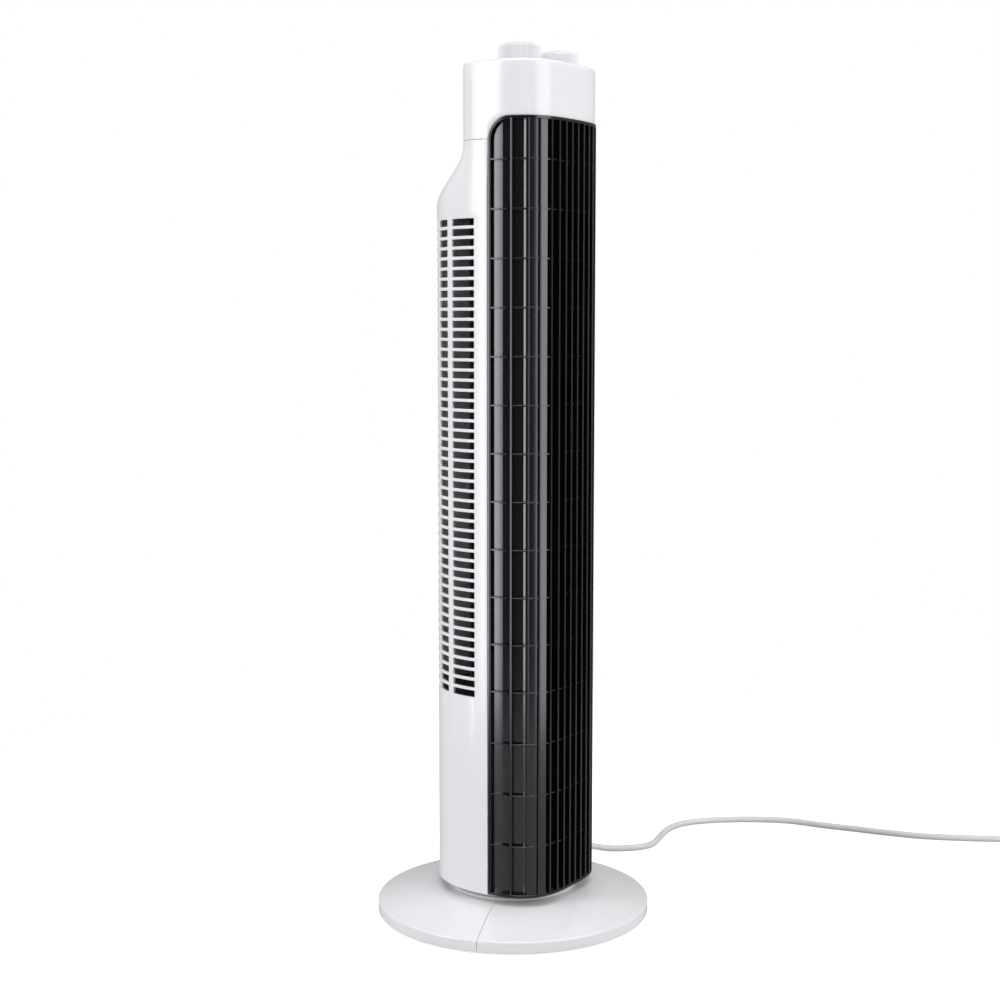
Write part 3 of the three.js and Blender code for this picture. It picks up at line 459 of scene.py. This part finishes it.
def grille_frame(parts):
    """The border: a flat band with a fine groove, round the whole grille."""
    section = [(0, -3.4), (0, -0.4), (0.3, 0), (1.35, 0), (1.5, -0.7), (1.8, -0.7), (1.95, -0.3)]
    section += [(FRAME_W - 0.25, -0.3), (FRAME_W, -0.6), (FRAME_W, -FRAME_T)]
    low, high = grille_low[2], grille_high[2]
    path = []
    for corner_s, corner_z, radius, start in (
        (CORNER_R, high - CORNER_R, CORNER_R, 180),
        (ARC - CORNER_R, high - CORNER_R, CORNER_R, 90),
        (ARC - 1, low + 1, 1, 0),
        (1, low + 1, 1, -90),
    ):
        steps = 14 if radius > 2 else 3
        for i in range(steps + 1):
            angle = math.radians(start - 90 * i / steps)
            path.append((corner_s, corner_z, radius, math.cos(angle), math.sin(angle)))
    rings = []
    for k, here in enumerate(path):
        after = path[(k + 1) % len(path)]
        ends = [here]
        gap = math.dist(here[:2], after[:2])
        if gap > 5:
            ends = [
                tuple(a + (b - a) * i / 40 for a, b in zip(here, after)) for i in range(40)
            ]
        for cs, cz, radius, c, s in ends:
            ring = []
            for inset, out in section:
                reach = radius - inset
                if radius < 2:
                    reach = max(-inset, radius - inset)
                x, y = on_front(cs + c * reach, out)
                ring.append((x, y, cz + s * reach))
            rings.append(ring)
    parts.rings(rings, loop=True)


def backing_depth(s):
    """How far the closed panels lie behind the outline."""
    s = min(s, ARC - s)
    for (low, near), (high, far) in zip(PANELS, PANELS[1:]):
        if s < high:
            return near + (far - near) * max(0, s - low) / (high - low)
    return PANELS[-1][1]


def backing(parts):
    """The closed sheet behind the ribs, open where the air leaves."""
    open_low, open_high = run_at(SLATS[0]), run_at(SLATS[-1])
    stops = [panel[0] for panel in PANELS] + [open_low]
    stops += [ARC - s for s in reversed(stops)]
    runs = subdivide(stops, 1.6)
    profile = [(s, backing_depth(s)) for s in runs]
    corner_z = grille_high[2] - CORNER_R - 6
    zs = subdivide([grille_low[2] + 1, OUTLET[0], OUTLET[1], corner_z], 60)
    count = len(profile)
    rows = [[(s, z, out) for s, out in profile] for z in zs]
    for rise in (0.25, 0.5, 0.75, 1):
        rows.append([(s, corner_z + (top_at(s, 1.6) - corner_z) * rise, out) for s, out in profile])
    front = [(*on_front(s, out), z) for row in rows for s, z, out in row]
    behind = [(*on_front(s, out - SHEET_T), z) for row in rows for s, z, out in row]

    def is_open(i, j):
        z = (rows[i][0][1] + rows[i + 1][0][1]) / 2 if i + 1 < len(zs) else corner_z
        s = (runs[j] + runs[j + 1]) / 2
        return OUTLET[0] < z < OUTLET[1] and open_low < s < open_high

    sheet = grid_faces(len(rows), count, skip=is_open)
    base = len(front)
    faces = list(sheet) + [tuple(base + i for i in face[::-1]) for face in sheet]
    used = {}
    for face in sheet:
        for a, b in zip(face, face[1:] + face[:1]):
            used[(a, b)] = True
    for a, b in used:
        if (b, a) not in used:
            faces.append((b, a, base + a, base + b))
    parts.add(front + behind, faces)


def upright(parts, s, width, depth, direction=None, low=None, high=None):
    """A vertical rib: its front edge is on the outline, rounded, and it runs back to a depth."""
    x, y = on_front(s)
    if direction is None:
        inner = on_front(s, -1)
        direction = (inner[0] - x, inner[1] - y)
    dx, dy = direction
    side = (-dy, dx)
    half = width / 2
    section = [(-half, depth), (-half, 0.45), (-half * 0.55, 0.1), (0, 0), (half * 0.55, 0.1), (half, 0.45),
               (half, depth)]
    low = grille_low[2] + 2 if low is None else low
    high = top_at(s, 2) if high is None else high
    rings = []
    for z in (low, high):
        rings.append([(x + side[0] * a + dx * b, y + side[1] * a + dy * b, z) for a, b in section])
    parts.rings(rings)


def crossbar(parts, z, start, end, near, far, height=1.3):
    """A thin bar that follows the outline between two distances along it."""
    count = max(2, round((end - start) / 2.2))
    rings = []
    for i in range(count + 1):
        s = start + (end - start) * i / count
        half = height / 2
        ring = [(near, z - half + 0.25), (near, z + half - 0.25), (near - 0.25, z + half), (far, z + half),
                (far, z - half), (near - 0.25, z - half)]
        rings.append([(*on_front(s, out), level) for out, level in ring])
    parts.rings(rings)


def make_grille():
    parts = Parts()
    grille_frame(parts)
    backing(parts)
    for s, width, depth in RIBS:
        upright(parts, s, width, -depth)
        upright(parts, ARC - s, width, -depth)
    for x in SLATS:
        upright(parts, run_at(x), SLAT_W, SLAT_DEPTH, direction=(0, 1))
    first, last = RIBS[0][0], RIBS[-1][0]
    runs = [run_at(x) for x in SLATS]
    for z in BARS:
        crossbar(parts, z, 2, first - 3, BAR_NEAR, BAR_FAR)
        crossbar(parts, z, ARC - first + 3, ARC - 2, BAR_NEAR, BAR_FAR)
        crossbar(parts, z, first - 0.5, last, BAR_NEAR, BAR_FAR)
        crossbar(parts, z, ARC - last, ARC - first + 0.5, BAR_NEAR, BAR_FAR)
        crossbar(parts, z, last, runs[0], BAR_NEAR - 0.3, BAR_FAR)
        crossbar(parts, z, runs[-1], ARC - last, BAR_NEAR - 0.3, BAR_FAR)
        # Between the slats the bars stand deeper, and deeper still in the outlet's outer thirds.
        outer = -4.6 if OUTLET[0] < z < OUTLET[1] - 1 else -1.8
        for start, end, near in ((0, 2, outer), (2, 5, -2.2), (5, 7, outer)):
            crossbar(parts, z, runs[start], runs[end], near, SLAT_BAR_FAR, SLAT_BAR_T)
    piece = build("front_grille_shell", parts.points, parts.faces, "gloss_black", "tower", "front_grille")
    return settle(piece, GRILLE_SMOOTH)


make_grille()

# ---- Bulkheads ----

BULKHEAD_T = 3
BULKHEAD_INSET = 11
LEAD_HOLE_R = 3.4
LEAD_X, LEAD_Y = -48, -24


def make_bulkhead(node, name, z0, hole_r):
    """A plate that stops short of the grille's sunken panels, with holes for the shaft and the lead."""
    high = span(node)[1]
    turns = subdivide([0, 90, 180], 5)
    rear = [super_point(high[0], high[1], REAR_SQUARE, t) for t in turns]
    width, depth = HALF_WIDTH - BULKHEAD_INSET, FRONT_DEPTH - BULKHEAD_INSET
    front = [super_point(width, depth, FRONT_SQUARE, 180 + t) for t in turns]
    outline = rear + front
    parts = Parts()
    parts.rings([[(x, y, z) for x, y in outline] for z in (z0, z0 + BULKHEAD_T)])
    piece = build(name, parts.points, parts.faces, "inner_black", "tower", node)
    hole = Parts()
    for radius, sides, x, y in ((hole_r, 48, 0, 0), (LEAD_HOLE_R, 24, LEAD_X, LEAD_Y)):
        hole.spin([(0.001, z0 - 5), (radius, z0 - 5), (radius, z0 + 8), (0.001, z0 + 8)], sides, x, y)
    carve(piece, hole)
    bevel(piece, 0.3)
    return settle(piece)


make_bulkhead("lower_bulkhead", "lower_bulkhead_plate", 195, 7)
make_bulkhead("upper_bulkhead", "upper_bulkhead_plate", 604, 9.3)

# ---- Top cap ----


def make_cap():
    low, high = cap_low[2], cap_high[2]
    turns = subdivide([0, 90, 180, 270, 360], 2.5)[:-1]

    def ring(z, inset):
        points = []
        for t in turns:
            front = t > 180
            depth = HEAD_FRONT if front else HEAD_REAR
            square = FRONT_SQUARE if front else HEAD_SQUARE
            points.append((*super_point(HEAD_HALF - inset, depth - inset, square, t), z))
        return points

    rows = [ring(z, 0) for z in (low, low + 1, low + 20, high - 12, high - 3)]
    for i in range(1, 7):
        angle = math.radians(15 * i)
        rows.append(ring(high - 3 + 3 * math.sin(angle), 3 - 3 * math.cos(angle)))
    for inset in (6, 12, 22, 26.9):
        rows.append(ring(high, inset))
    points = [p for row in rows for p in row]
    faces = grid_faces(len(rows), len(turns), True)
    faces.append(tuple(range(len(points) - len(turns), len(points))))
    piece = build("top_cap_shell", points, faces, "cap_white", "tower", "top_cap")
    shell(piece, WALL)
    settle(piece)
    cut_notch(piece)
    bevel(piece, 0.5, 55)
    return settle(piece)


def cut_notch(piece):
    """Takes away the cap where the grille stands, with the grille's rounded corners."""
    edge, top, radius = EDGE_Y + 0.3, grille_high[2] + 0.3, CORNER_R + 0.3
    outline = [(-200, 600), (edge, 600)]
    for i in range(17):
        angle = math.radians(90 * i / 16)
        outline.append((edge - radius + radius * math.cos(angle), top - radius + radius * math.sin(angle)))
    outline.append((-200, top))
    parts = Parts()
    parts.rings([[(x, y, z) for y, z in outline] for x in (-100, 100)])
    carve(piece, parts)


make_cap()

# ---- Knobs ----

FLUTES = 72
GRIP_RIDGE = (0, -0.32, -0.45, -0.32)  # how deep the grip is, round one flute
KNOB_SMOOTH = 40


def make_knob(name, node):
    low, high = span(node)
    x, y = (low[0] + high[0]) / 2, (low[1] + high[1]) / 2
    radius = (high[0] - low[0]) / 2
    foot = cap_high[2] + 0.3
    top = high[2]
    side = top - 4.4
    sides = FLUTES * len(GRIP_RIDGE)
    profile = [
        (0, foot + 1.2, 0), (radius - 2, foot + 1.2, 0), (radius - 2, foot, 0), (radius - 0.4, foot, 0),
        (radius, foot + 0.6, 1), (radius - 0.1, foot + 4, 1), (radius - 0.2, side - 1.2, 1),
    ]
    for i in range(1, 8):
        angle = math.radians(90 * i / 8)
        grip = 1 - i / 8
        profile.append((radius - 2.6 + 2.4 * math.cos(angle), side - 0.2 + 2.2 * math.sin(angle), grip))
    for share in (0.75, 0.55, 0.35, 0.15):
        profile.append((radius * share, top - 2.4 * share**2, 0))
    profile.append((0.001, top, 0))
    rings = []
    for i in range(sides):
        angle = 2 * math.pi * i / sides
        ring = []
        for r, z, grip in profile:
            reach = r + GRIP_RIDGE[i % len(GRIP_RIDGE)] * grip
            ring.append((x + reach * math.cos(angle), y + reach * math.sin(angle), z))
        rings.append(ring)
    parts = Parts()
    parts.rings(rings, loop=True)
    points = [(x, y, p[2]) if math.dist(p[:2], (x, y)) < 0.01 else p for p in parts.points]
    piece = build(name, points, parts.faces, "knob_white", node, node)
    return settle(piece, KNOB_SMOOTH)


make_knob("speed_knob_grip", "speed_knob")
make_knob("timer_knob_grip", "timer_knob")

# ---- Base ----

rim_low = span("base_front_half")[0][2]
base_top = span("base_front_half")[1][2]
BASE_R = 117.5
RIM_Z = 10.4  # where the upright rim starts to round over
SLOPE_R, SLOPE_Z = BASE_R - 2.2, 12.1  # the foot of the sloping top
SLOPE_TOP_R = 58
SEAM_TURN = 19
SEAM_HALF = 0.25
# Each raised wedge's outer and inner edge at the rim, in degrees from the seam's near end.
FOLDS = [(-27, -5.6), (57, 34.8)]
FOLD_START_R, FOLD_REACH = 71, 44
FOLD_FALL = 6
FOLD_RISE = 1.5


def base_profile():
    """The outer face from the rim's foot to the middle, as (radius, z, share of the folds)."""
    rows = [(BASE_R - 0.4, rim_low, 0), (BASE_R, rim_low + 0.5, 0), (BASE_R, RIM_Z, 0)]
    for i in range(1, 5):
        angle = math.radians(90 * i / 5)
        rows.append((BASE_R - 1.3 + 1.3 * math.cos(angle), RIM_Z + 1.5 * math.sin(angle), 0))
    for i in range(13):
        t = i / 12
        radius = SLOPE_R - (SLOPE_R - SLOPE_TOP_R) * t
        rows.append((radius, SLOPE_Z + (base_top - SLOPE_Z) * math.sin(t * math.pi / 2) ** 1.06, 1))
    rows += [(50, base_top, 0), (30, base_top, 0)]
    return rows


def fold(degrees, radius):
    """How far the top rises in its two wedges, at a bearing from the seam's near end."""
    bearing = (degrees + 180) % 360 - 180
    spread = min(1, max(0, (radius - FOLD_START_R) / FOLD_REACH))
    rise = 0
    for outer, inner in FOLDS:
        crest = outer + (inner - outer) * spread
        away = (bearing - crest) * math.copysign(1, outer - inner)
        width = abs(crest - outer) if away > 0 else FOLD_FALL * spread
        if abs(away) < width:
            rise += spread * (1 - abs(away) / width)
    return FOLD_RISE * rise * (1 - smoothstep(radius, 108, 116))


def make_base_half(name, node, start):
    profile = base_profile()
    near_end = SEAM_TURN + 180
    gap = SEAM_HALF
    steps = 120
    points = []
    for r, z, share in profile:
        off = math.degrees(math.asin(gap / r))
        for i in range(steps + 1):
            degrees = start + off + (180 - 2 * off) * i / steps
            angle = math.radians(degrees)
            up = fold(degrees - near_end, r) * share
            points.append((r * math.cos(angle), r * math.sin(angle), z + up))
    faces = grid_faces(len(profile), steps + 1)
    piece = build(name, points, faces, "gloss_white", "base", node)
    shell(piece, 2.2)
    settle(piece)
    cut_cord_notch(piece)
    bevel(piece, 0.3, 60)
    return settle(piece)


def cut_cord_notch(piece):
    parts = Parts()
    turn = Matrix.Rotation(math.radians(SEAM_TURN), 3, "Z")
    arch = [(4.8, 6), (4.2, 8.6), (2.4, 10.2), (0, 10.8), (-2.4, 10.2), (-4.2, 8.6), (-4.8, 6)]
    ring = [(-4.8, -1), (4.8, -1), *arch]
    parts.rings([[tuple(turn @ Vector((x, y, z))) for y, z in ring] for x in (104, 125)])
    carve(piece, parts)


make_base_half("base_rear_shell", "base_rear_half", SEAM_TURN)
make_base_half("base_front_shell", "base_front_half", SEAM_TURN + 180)


def make_feet():
    for i in range(1, 7):
        low, high = span("rubber_foot_%d" % i)
        x, y = (low[0] + high[0]) / 2, (low[1] + high[1]) / 2
        r, top = (high[0] - low[0]) / 2, high[2]
        profile = [(0.001, 0.5), (r - 3, 0.5), (r - 2.6, 0), (r - 0.7, 0)]
        profile += [(r - 0.2, 0.2), (r, 0.7), (r, top), (0.001, top)]
        parts = Parts()
        parts.spin(profile, 40, x, y)
        piece = build("foot_pad_%d" % i, parts.points, parts.faces, "rubber", "base", "rubber_foot_%d" % i)
        settle(piece)


make_feet()

# ---- Neck: the smooth seat and slide ring under the column ----


SEAT_PIN = (36.147, -12.96)
SEAT_PIN_R = 2
SEAT_T = 2.7
NECK_INNER_R, NECK_R = 45, 48
SOFT = 0.4  # the neck pieces' rounded edges, and what runs freely round them


def disc(parts, inner, outer, low, high):
    """A flat ring with softened outer edges."""
    parts.spin(
        [
            (inner, low), (outer - SOFT, low), (outer, low + SOFT),
            (outer, high - SOFT), (outer - SOFT, high), (inner, high),
        ],
        128,
    )


def make_neck():
    low, high = span("slide_ring")
    parts = Parts()
    disc(parts, NECK_R + SOFT, high[0], low[2], high[2])
    settle(build("slide_ring_fine", parts.points, parts.faces, "inner_white", "base", "slide_ring"))

    low, high = span("swivel_seat")
    parts = Parts()
    top = low[2] + SEAT_T
    disc(parts, LEAD_HOLE_R, high[0], low[2], top)
    neck_top = span("tower_floor")[1][2] + 0.2
    inner, outer = NECK_INNER_R, NECK_R
    neck = [(inner, top - 1), (outer, top - 1), (outer, neck_top - SOFT)]
    neck += [(outer - SOFT, neck_top), (inner, neck_top)]
    parts.spin(neck, 128)
    pin_top = span("swing_link")[1][2] + SOFT
    pin = [(0.001, top - 1), (SEAT_PIN_R, top - 1), (SEAT_PIN_R, pin_top), (0.001, pin_top)]
    parts.spin(pin, 24, *SEAT_PIN)
    settle(build("swivel_seat_fine", parts.points, parts.faces, "inner_white", "base", "swivel_seat"))


make_neck()

# ---- Impeller ----

IMPELLER_R = 38
DRUM_LOW, DRUM_HIGH = 205.5, 598
DISC_T, DISC_GAPS = 2, 6
BLADES, BLADE_LEAN, BLADE_HALF_T = 32, 28, 0.45
BLADE_IN = 4.8  # from the drum's rim in to the middle of a blade


def make_impeller():
    low, high = span("impeller")
    radius, bottom, top = IMPELLER_R, DRUM_LOW, DRUM_HIGH
    parts = Parts()
    discs = [bottom + (top - DISC_T - bottom) * i / DISC_GAPS for i in range(DISC_GAPS + 1)]
    for z in discs:
        rim = [(radius - 0.5, z), (radius, z + 0.4), (radius, z + 1.6), (radius - 0.5, z + DISC_T)]
        parts.spin([(0.001, z), *rim, (0.001, z + DISC_T)], 96)
    arc = [(-4.3, -1.7), (-2.2, -0.4), (0, 0.3), (2.2, 0.4), (4.3, 0)]
    lean = math.radians(BLADE_LEAN)
    for k in range(BLADES):
        turn = 2 * math.pi * k / BLADES
        c, s = math.cos(turn), math.sin(turn)
        outline = []
        for side in (BLADE_HALF_T, -BLADE_HALF_T):
            walk = arc if side > 0 else arc[::-1]
            for a, b in walk:
                u = a * math.cos(lean) - (b + side) * math.sin(lean) + radius - BLADE_IN
                v = a * math.sin(lean) + (b + side) * math.cos(lean)
                outline.append((u * c - v * s, u * s + v * c))
        parts.rings([[(x, y, z) for x, y in outline] for z in (bottom + 1, top - 1)])
    parts.spin([(4.3, low[2]), (9.6, low[2]), (9.6, bottom + 0.5), (4.3, bottom + 0.5)], 48)
    parts.spin([(0.001, top - 0.5), (3, top - 0.5), (3, high[2]), (0.001, high[2])], 32)
    settle(build("impeller_drum", parts.points, parts.faces, "inner_black", "impeller", "impeller"))


make_impeller()

# ---- Cord ----

LEAD_R = 3.0
ROUTE = [
    (141.96, 48.88, 6), (149.2, 51.1, 5.6), (157.9, 51.4, 4.8), (166.5, 48.8, 4), (173.8, 43.2, 3.4),
    (178.9, 35.2, 3.1), (181.6, 24.4, 3), (182.8, 14.1, 3), (186.4, 5.5, 3), (193.6, -3.2, 3),
    (199.7, -9.3, 3), (207.3, -14.6, 3), (215.6, -17.3, 3), (224.4, -17.3, 3), (233, -15.4, 3),
    (242, -13.2, 3), (256, -9.8, 3), (270, -7.6, 3), (284, -7.8, 3), (299.8, -12, 3),
    (314.5, -22.4, 3), (327.4, -34.5, 3), (342.5, -53.5, 3), (357, -77, 3), (366, -100, 3),
    (370, -130, 3), (376, -160, 3), (381.5, -190, 3), (391, -227, 3), (407, -262, 3),
    (425.5, -295.6, 3), (445.2, -326.8, 3),
]
CORD_END_TURN = -57.7
COIL_TURN_R = 39
COIL_INNER_TURN_R = 27
LOW_TURNS, HIGH_TURNS = 3, 2
PLUG_START = 58
GLAND_Z, PLUG_Z = 6, 7
PIN_OFF = 9.5  # half of the pins' spacing


def cord_end():
    """The cord's last heading, its left, and how far the coil's tangent lies past the route's end."""
    angle = math.radians(CORD_END_TURN)
    heading = Vector((math.cos(angle), math.sin(angle)))
    left = Vector((-math.sin(angle), math.cos(angle)))
    return heading, left, math.sqrt((COIL_TURN_R + 2 * LEAD_R + 0.3) ** 2 - COIL_TURN_R**2)


def coil_path():
    """From the tangent of the outermost turn in to the innermost, up, out again and off to the plug."""
    heading, left, reach = cord_end()
    tangent = Vector(ROUTE[-1][:2]) + heading * reach
    centre = tangent + left * COIL_TURN_R
    start = math.degrees(math.atan2(-left.y, -left.x))
    per_turn = 24
    points = []
    total = LOW_TURNS + HIGH_TURNS
    for i in range(total * per_turn + 1):
        turns = i / per_turn
        if turns <= LOW_TURNS:
            share = turns / LOW_TURNS
            radius = COIL_TURN_R - (COIL_TURN_R - COIL_INNER_TURN_R) * share
        else:
            share = (turns - LOW_TURNS) / HIGH_TURNS
            radius = COIL_INNER_TURN_R + (COIL_TURN_R - COIL_INNER_TURN_R) * share
        level = LEAD_R + 2 * LEAD_R * smoothstep(turns, LOW_TURNS - 0.35, LOW_TURNS + 0.25)
        around = math.radians(start + 360 * turns)
        points.append((centre.x + radius * math.cos(around), centre.y + radius * math.sin(around), level))
    tail = [(10, 8.9), (20, 8.7), (30, 8.2), (42, 7.5), (50, 7.1), (PLUG_START - 0.3, 7)]
    points += [(*(tangent + heading * s), z) for s, z in tail]
    return points


def path_length(points):
    return sum(math.dist(a, b) for a, b in zip(points, points[1:]))


def smooth_path(points, steps):
    """A Catmull-Rom line through chosen points."""
    line = []
    for i in range(len(points) - 1):
        p = [Vector(points[max(0, min(len(points) - 1, i + k))]) for k in (-1, 0, 1, 2)]
        for j in range(steps):
            t = j / steps
            a = p[1] * 2
            b = (p[2] - p[0]) * t
            c = (p[0] * 2 - p[1] * 5 + p[2] * 4 - p[3]) * t * t
            d = (p[1] * 3 - p[0] - p[2] * 3 + p[3]) * t**3
            line.append(tuple((a + b + c + d) * 0.5))
    line.append(points[-1])
    return line


def make_cord():
    points = smooth_path(ROUTE, 6) + coil_path()
    curve = bpy.data.curves.new("mains_cord_sheath", "CURVE")
    curve.dimensions = "3D"
    curve.bevel_depth = LEAD_R * MM
    curve.bevel_resolution = 6
    curve.use_fill_caps = True
    spline = curve.splines.new("POLY")
    spline.points.add(len(points) - 1)
    for point, place in zip(spline.points, points):
        point.co = (*[v * MM for v in place], 1)
    spline.use_smooth = True
    cord = bpy.data.objects.new("mains_cord_sheath", curve)
    scene.collection.objects.link(cord)
    curve.materials.append(looks["cord_white"])
    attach(cord, "base")
    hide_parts("mains_cord", "cord_coil", "cord_tail")
    return cord, path_length(points) * MM


def on_seam(along, across, z):
    """A point given along the base's seam from the axis, and across it."""
    c, s = math.cos(math.radians(SEAM_TURN)), math.sin(math.radians(SEAM_TURN))
    return along * c - across * s, along * s + across * c, z


def turned(place, rows, sides, height, across=0):
    """Rings of a body that is round about the cord's line, from (along, radius) rows."""
    rings = []
    for i in range(sides):
        c, s = math.cos(2 * math.pi * i / sides), math.sin(2 * math.pi * i / sides)
        rings.append([place(a, across + r * c, height + r * s) for a, r in rows])
    return rings


def make_gland():
    """The strain relief: a flange inside the rim, a neck and a tapered sleeve with grip ribs."""
    rows = [(102.5, 0.05), (102.5, 4.7), (102.8, 5), (105.2, 5), (105.5, 4.4), (117.6, 4.4), (117.8, 5.1),
            (118.2, 5.4), (120.5, 5.3)]
    for i in range(8):
        a = 121.5 + 3.1 * i
        r = 5.2 - 1.15 * i / 8
        rows += [(a, r), (a + 0.5, r - 0.75), (a + 1.4, r - 0.75), (a + 1.9, r - 0.1)]
    rows += [(147.5, 3.9), (149.2, 3.8), (149.8, 3.5), (149.8, 0.05)]
    parts = Parts()
    parts.rings(turned(on_seam, rows, 36, GLAND_Z), loop=True)
    return settle(build("cord_relief", parts.points, parts.faces, "cord_white", "base", "cord_gland"))


def at_plug(along, across, z):
    """A point given along the plug from its sleeve's start, and across it."""
    heading, left, reach = cord_end()
    start = Vector(ROUTE[-1][:2]) + heading * (reach + PLUG_START)
    return *(start + heading * along + left * across), z


def make_plug():
    """A slim two-pin plug: a moulded body with finger hollows, and a ribbed sleeve to the cord."""
    stations = [(0, 4.1, 4.1), (2, 4.4, 4.3), (7, 4.8, 4.6), (10, 6.2, 5.4), (14, 9.4, 6.5), (18, 11.2, 6.9),
                (23, 11.6, 6.2), (28, 12.4, 6.6), (31, 13, 7), (33.4, 13, 7), (34, 12.5, 6.6)]
    count = 40
    rings = []
    for a, half_w, half_h in stations:
        square = 2 + 2.2 * smoothstep(a, 6, 18)
        ring = []
        for i in range(count):
            y, z = super_point(half_w, half_h, square, 360 * i / count)
            ring.append(at_plug(a, y, PLUG_Z + z))
        rings.append(ring)
    parts = Parts()
    parts.rings(rings)
    for a in (1.6, 3.8, 6.0):
        ridge = [(a - 0.5, 4.2), (a - 0.3, 4.95), (a + 0.3, 4.95), (a + 0.5, 4.2)]
        parts.rings(turned(at_plug, ridge, 32, PLUG_Z), loop=True)
    body = settle(build("plug_moulding", parts.points, parts.faces, "cord_white", "base", "plug_body"))
    pins = []
    for side, name in ((-1, "plug_pin_1"), (1, "plug_pin_2")):
        rows = [(34.3, 0.05), (34.3, 1.95), (52, 1.95), (52.8, 1.6), (53.2, 0.9), (53.3, 0.05)]
        pin = Parts()
        pin.rings(turned(at_plug, rows, 28, PLUG_Z, side * PIN_OFF), loop=True)
        pins.append(settle(build(name + "_fine", pin.points, pin.faces, "pin_brass", "base", name)))
    return [body, *pins]


cord, cord_length = make_cord()
relief = make_gland()
plug_pieces = make_plug()

# ---- Floor and light ----


FLOOR_GLOW = 0.85  # the camera sees the floor lit from below, as a sheet of white acrylic is
FLOOR_HALF = 0.8


def make_floor():
    mesh = bpy.data.meshes.new("floor")
    half = FLOOR_HALF
    square = [(-half, -half, 0), (half, -half, 0), (half, half, 0), (-half, half, 0)]
    mesh.from_pydata(square, [], [(0, 1, 2, 3)])
    floor = bpy.data.objects.new("floor", mesh)
    scene.collection.objects.link(floor)
    material = new_material("floor_white", (0.55, 0.55, 0.55), 0.8)
    shader = material.node_tree.nodes["Principled BSDF"]
    shader.inputs["Specular IOR Level"].default_value = 0
    shader.inputs["Emission Color"].default_value = (1, 1, 1, 1)
    tree = material.node_tree
    seen = tree.nodes.new("ShaderNodeLightPath")
    glow = tree.nodes.new("ShaderNodeMapRange")
    glow.inputs["To Min"].default_value = 0
    glow.inputs["To Max"].default_value = FLOOR_GLOW
    tree.links.new(seen.outputs["Is Camera Ray"], glow.inputs["Value"])
    tree.links.new(glow.outputs["Result"], shader.inputs["Emission Strength"])
    mesh.materials.append(material)


ROOM_GLOW = 0.36
ROOM_DIM = 0.1
# Name, bearing from the camera's side, distance, height, (width, height), watts, and the height aimed at.
SOFTBOXES = [
    ("left_softbox", -60, 1.5, 0.68, (0.5, 1.9), 17, 0.4),
    ("right_softbox", 57, 1.6, 0.68, (1.1, 1.9), 20, 0.4),
    ("top_softbox", 20, 0.35, 2.0, (1.2, 1.2), 14.5, 0.0),
]


def softbox(name, turn, distance, height, size, power, aim_z):
    """A rectangular light at a bearing from the camera's side of the fan, aimed at the axis."""
    data = bpy.data.lights.new(name, "AREA")
    data.shape = "RECTANGLE"
    data.size, data.size_y = size
    data.energy = power
    light = bpy.data.objects.new(name, data)
    scene.collection.objects.link(light)
    angle = math.radians(turn)
    away = toward * math.cos(angle) + right * math.sin(angle)
    light.location = away * distance + Vector((0, 0, height))
    look = Vector((0, 0, aim_z)) - light.location
    light.rotation_mode = "QUATERNION"
    light.rotation_quaternion = look.to_track_quat("-Z", "Y")


def make_light():
    """A white room, dim on the side the fan is photographed from, with softboxes left, right and above."""
    world = bpy.data.worlds.new("studio")
    world.use_nodes = True
    tree = world.node_tree
    backdrop = tree.nodes["Background"]
    backdrop.inputs["Color"].default_value = (1, 1, 1, 1)
    place = tree.nodes.new("ShaderNodeTexCoord")
    facing = tree.nodes.new("ShaderNodeVectorMath")
    facing.operation = "DOT_PRODUCT"
    facing.inputs[1].default_value = toward
    room = tree.nodes.new("ShaderNodeMapRange")
    room.interpolation_type = "SMOOTHSTEP"
    room.inputs["From Min"].default_value = 0.2
    room.inputs["From Max"].default_value = 0.8
    room.inputs["To Min"].default_value = ROOM_GLOW
    room.inputs["To Max"].default_value = ROOM_DIM
    seen = tree.nodes.new("ShaderNodeLightPath")
    strength = tree.nodes.new("ShaderNodeMix")
    strength.inputs["B"].default_value = 1.0
    tree.links.new(place.outputs["Generated"], facing.inputs[0])
    tree.links.new(facing.outputs["Value"], room.inputs["Value"])
    tree.links.new(room.outputs["Result"], strength.inputs["A"])
    tree.links.new(seen.outputs["Is Camera Ray"], strength.inputs["Factor"])
    tree.links.new(strength.outputs["Result"], backdrop.inputs["Strength"])
    scene.world = world
    for row in SOFTBOXES:
        softbox(*row)
    scene.view_settings.view_transform = "Standard"


make_floor()
make_light()
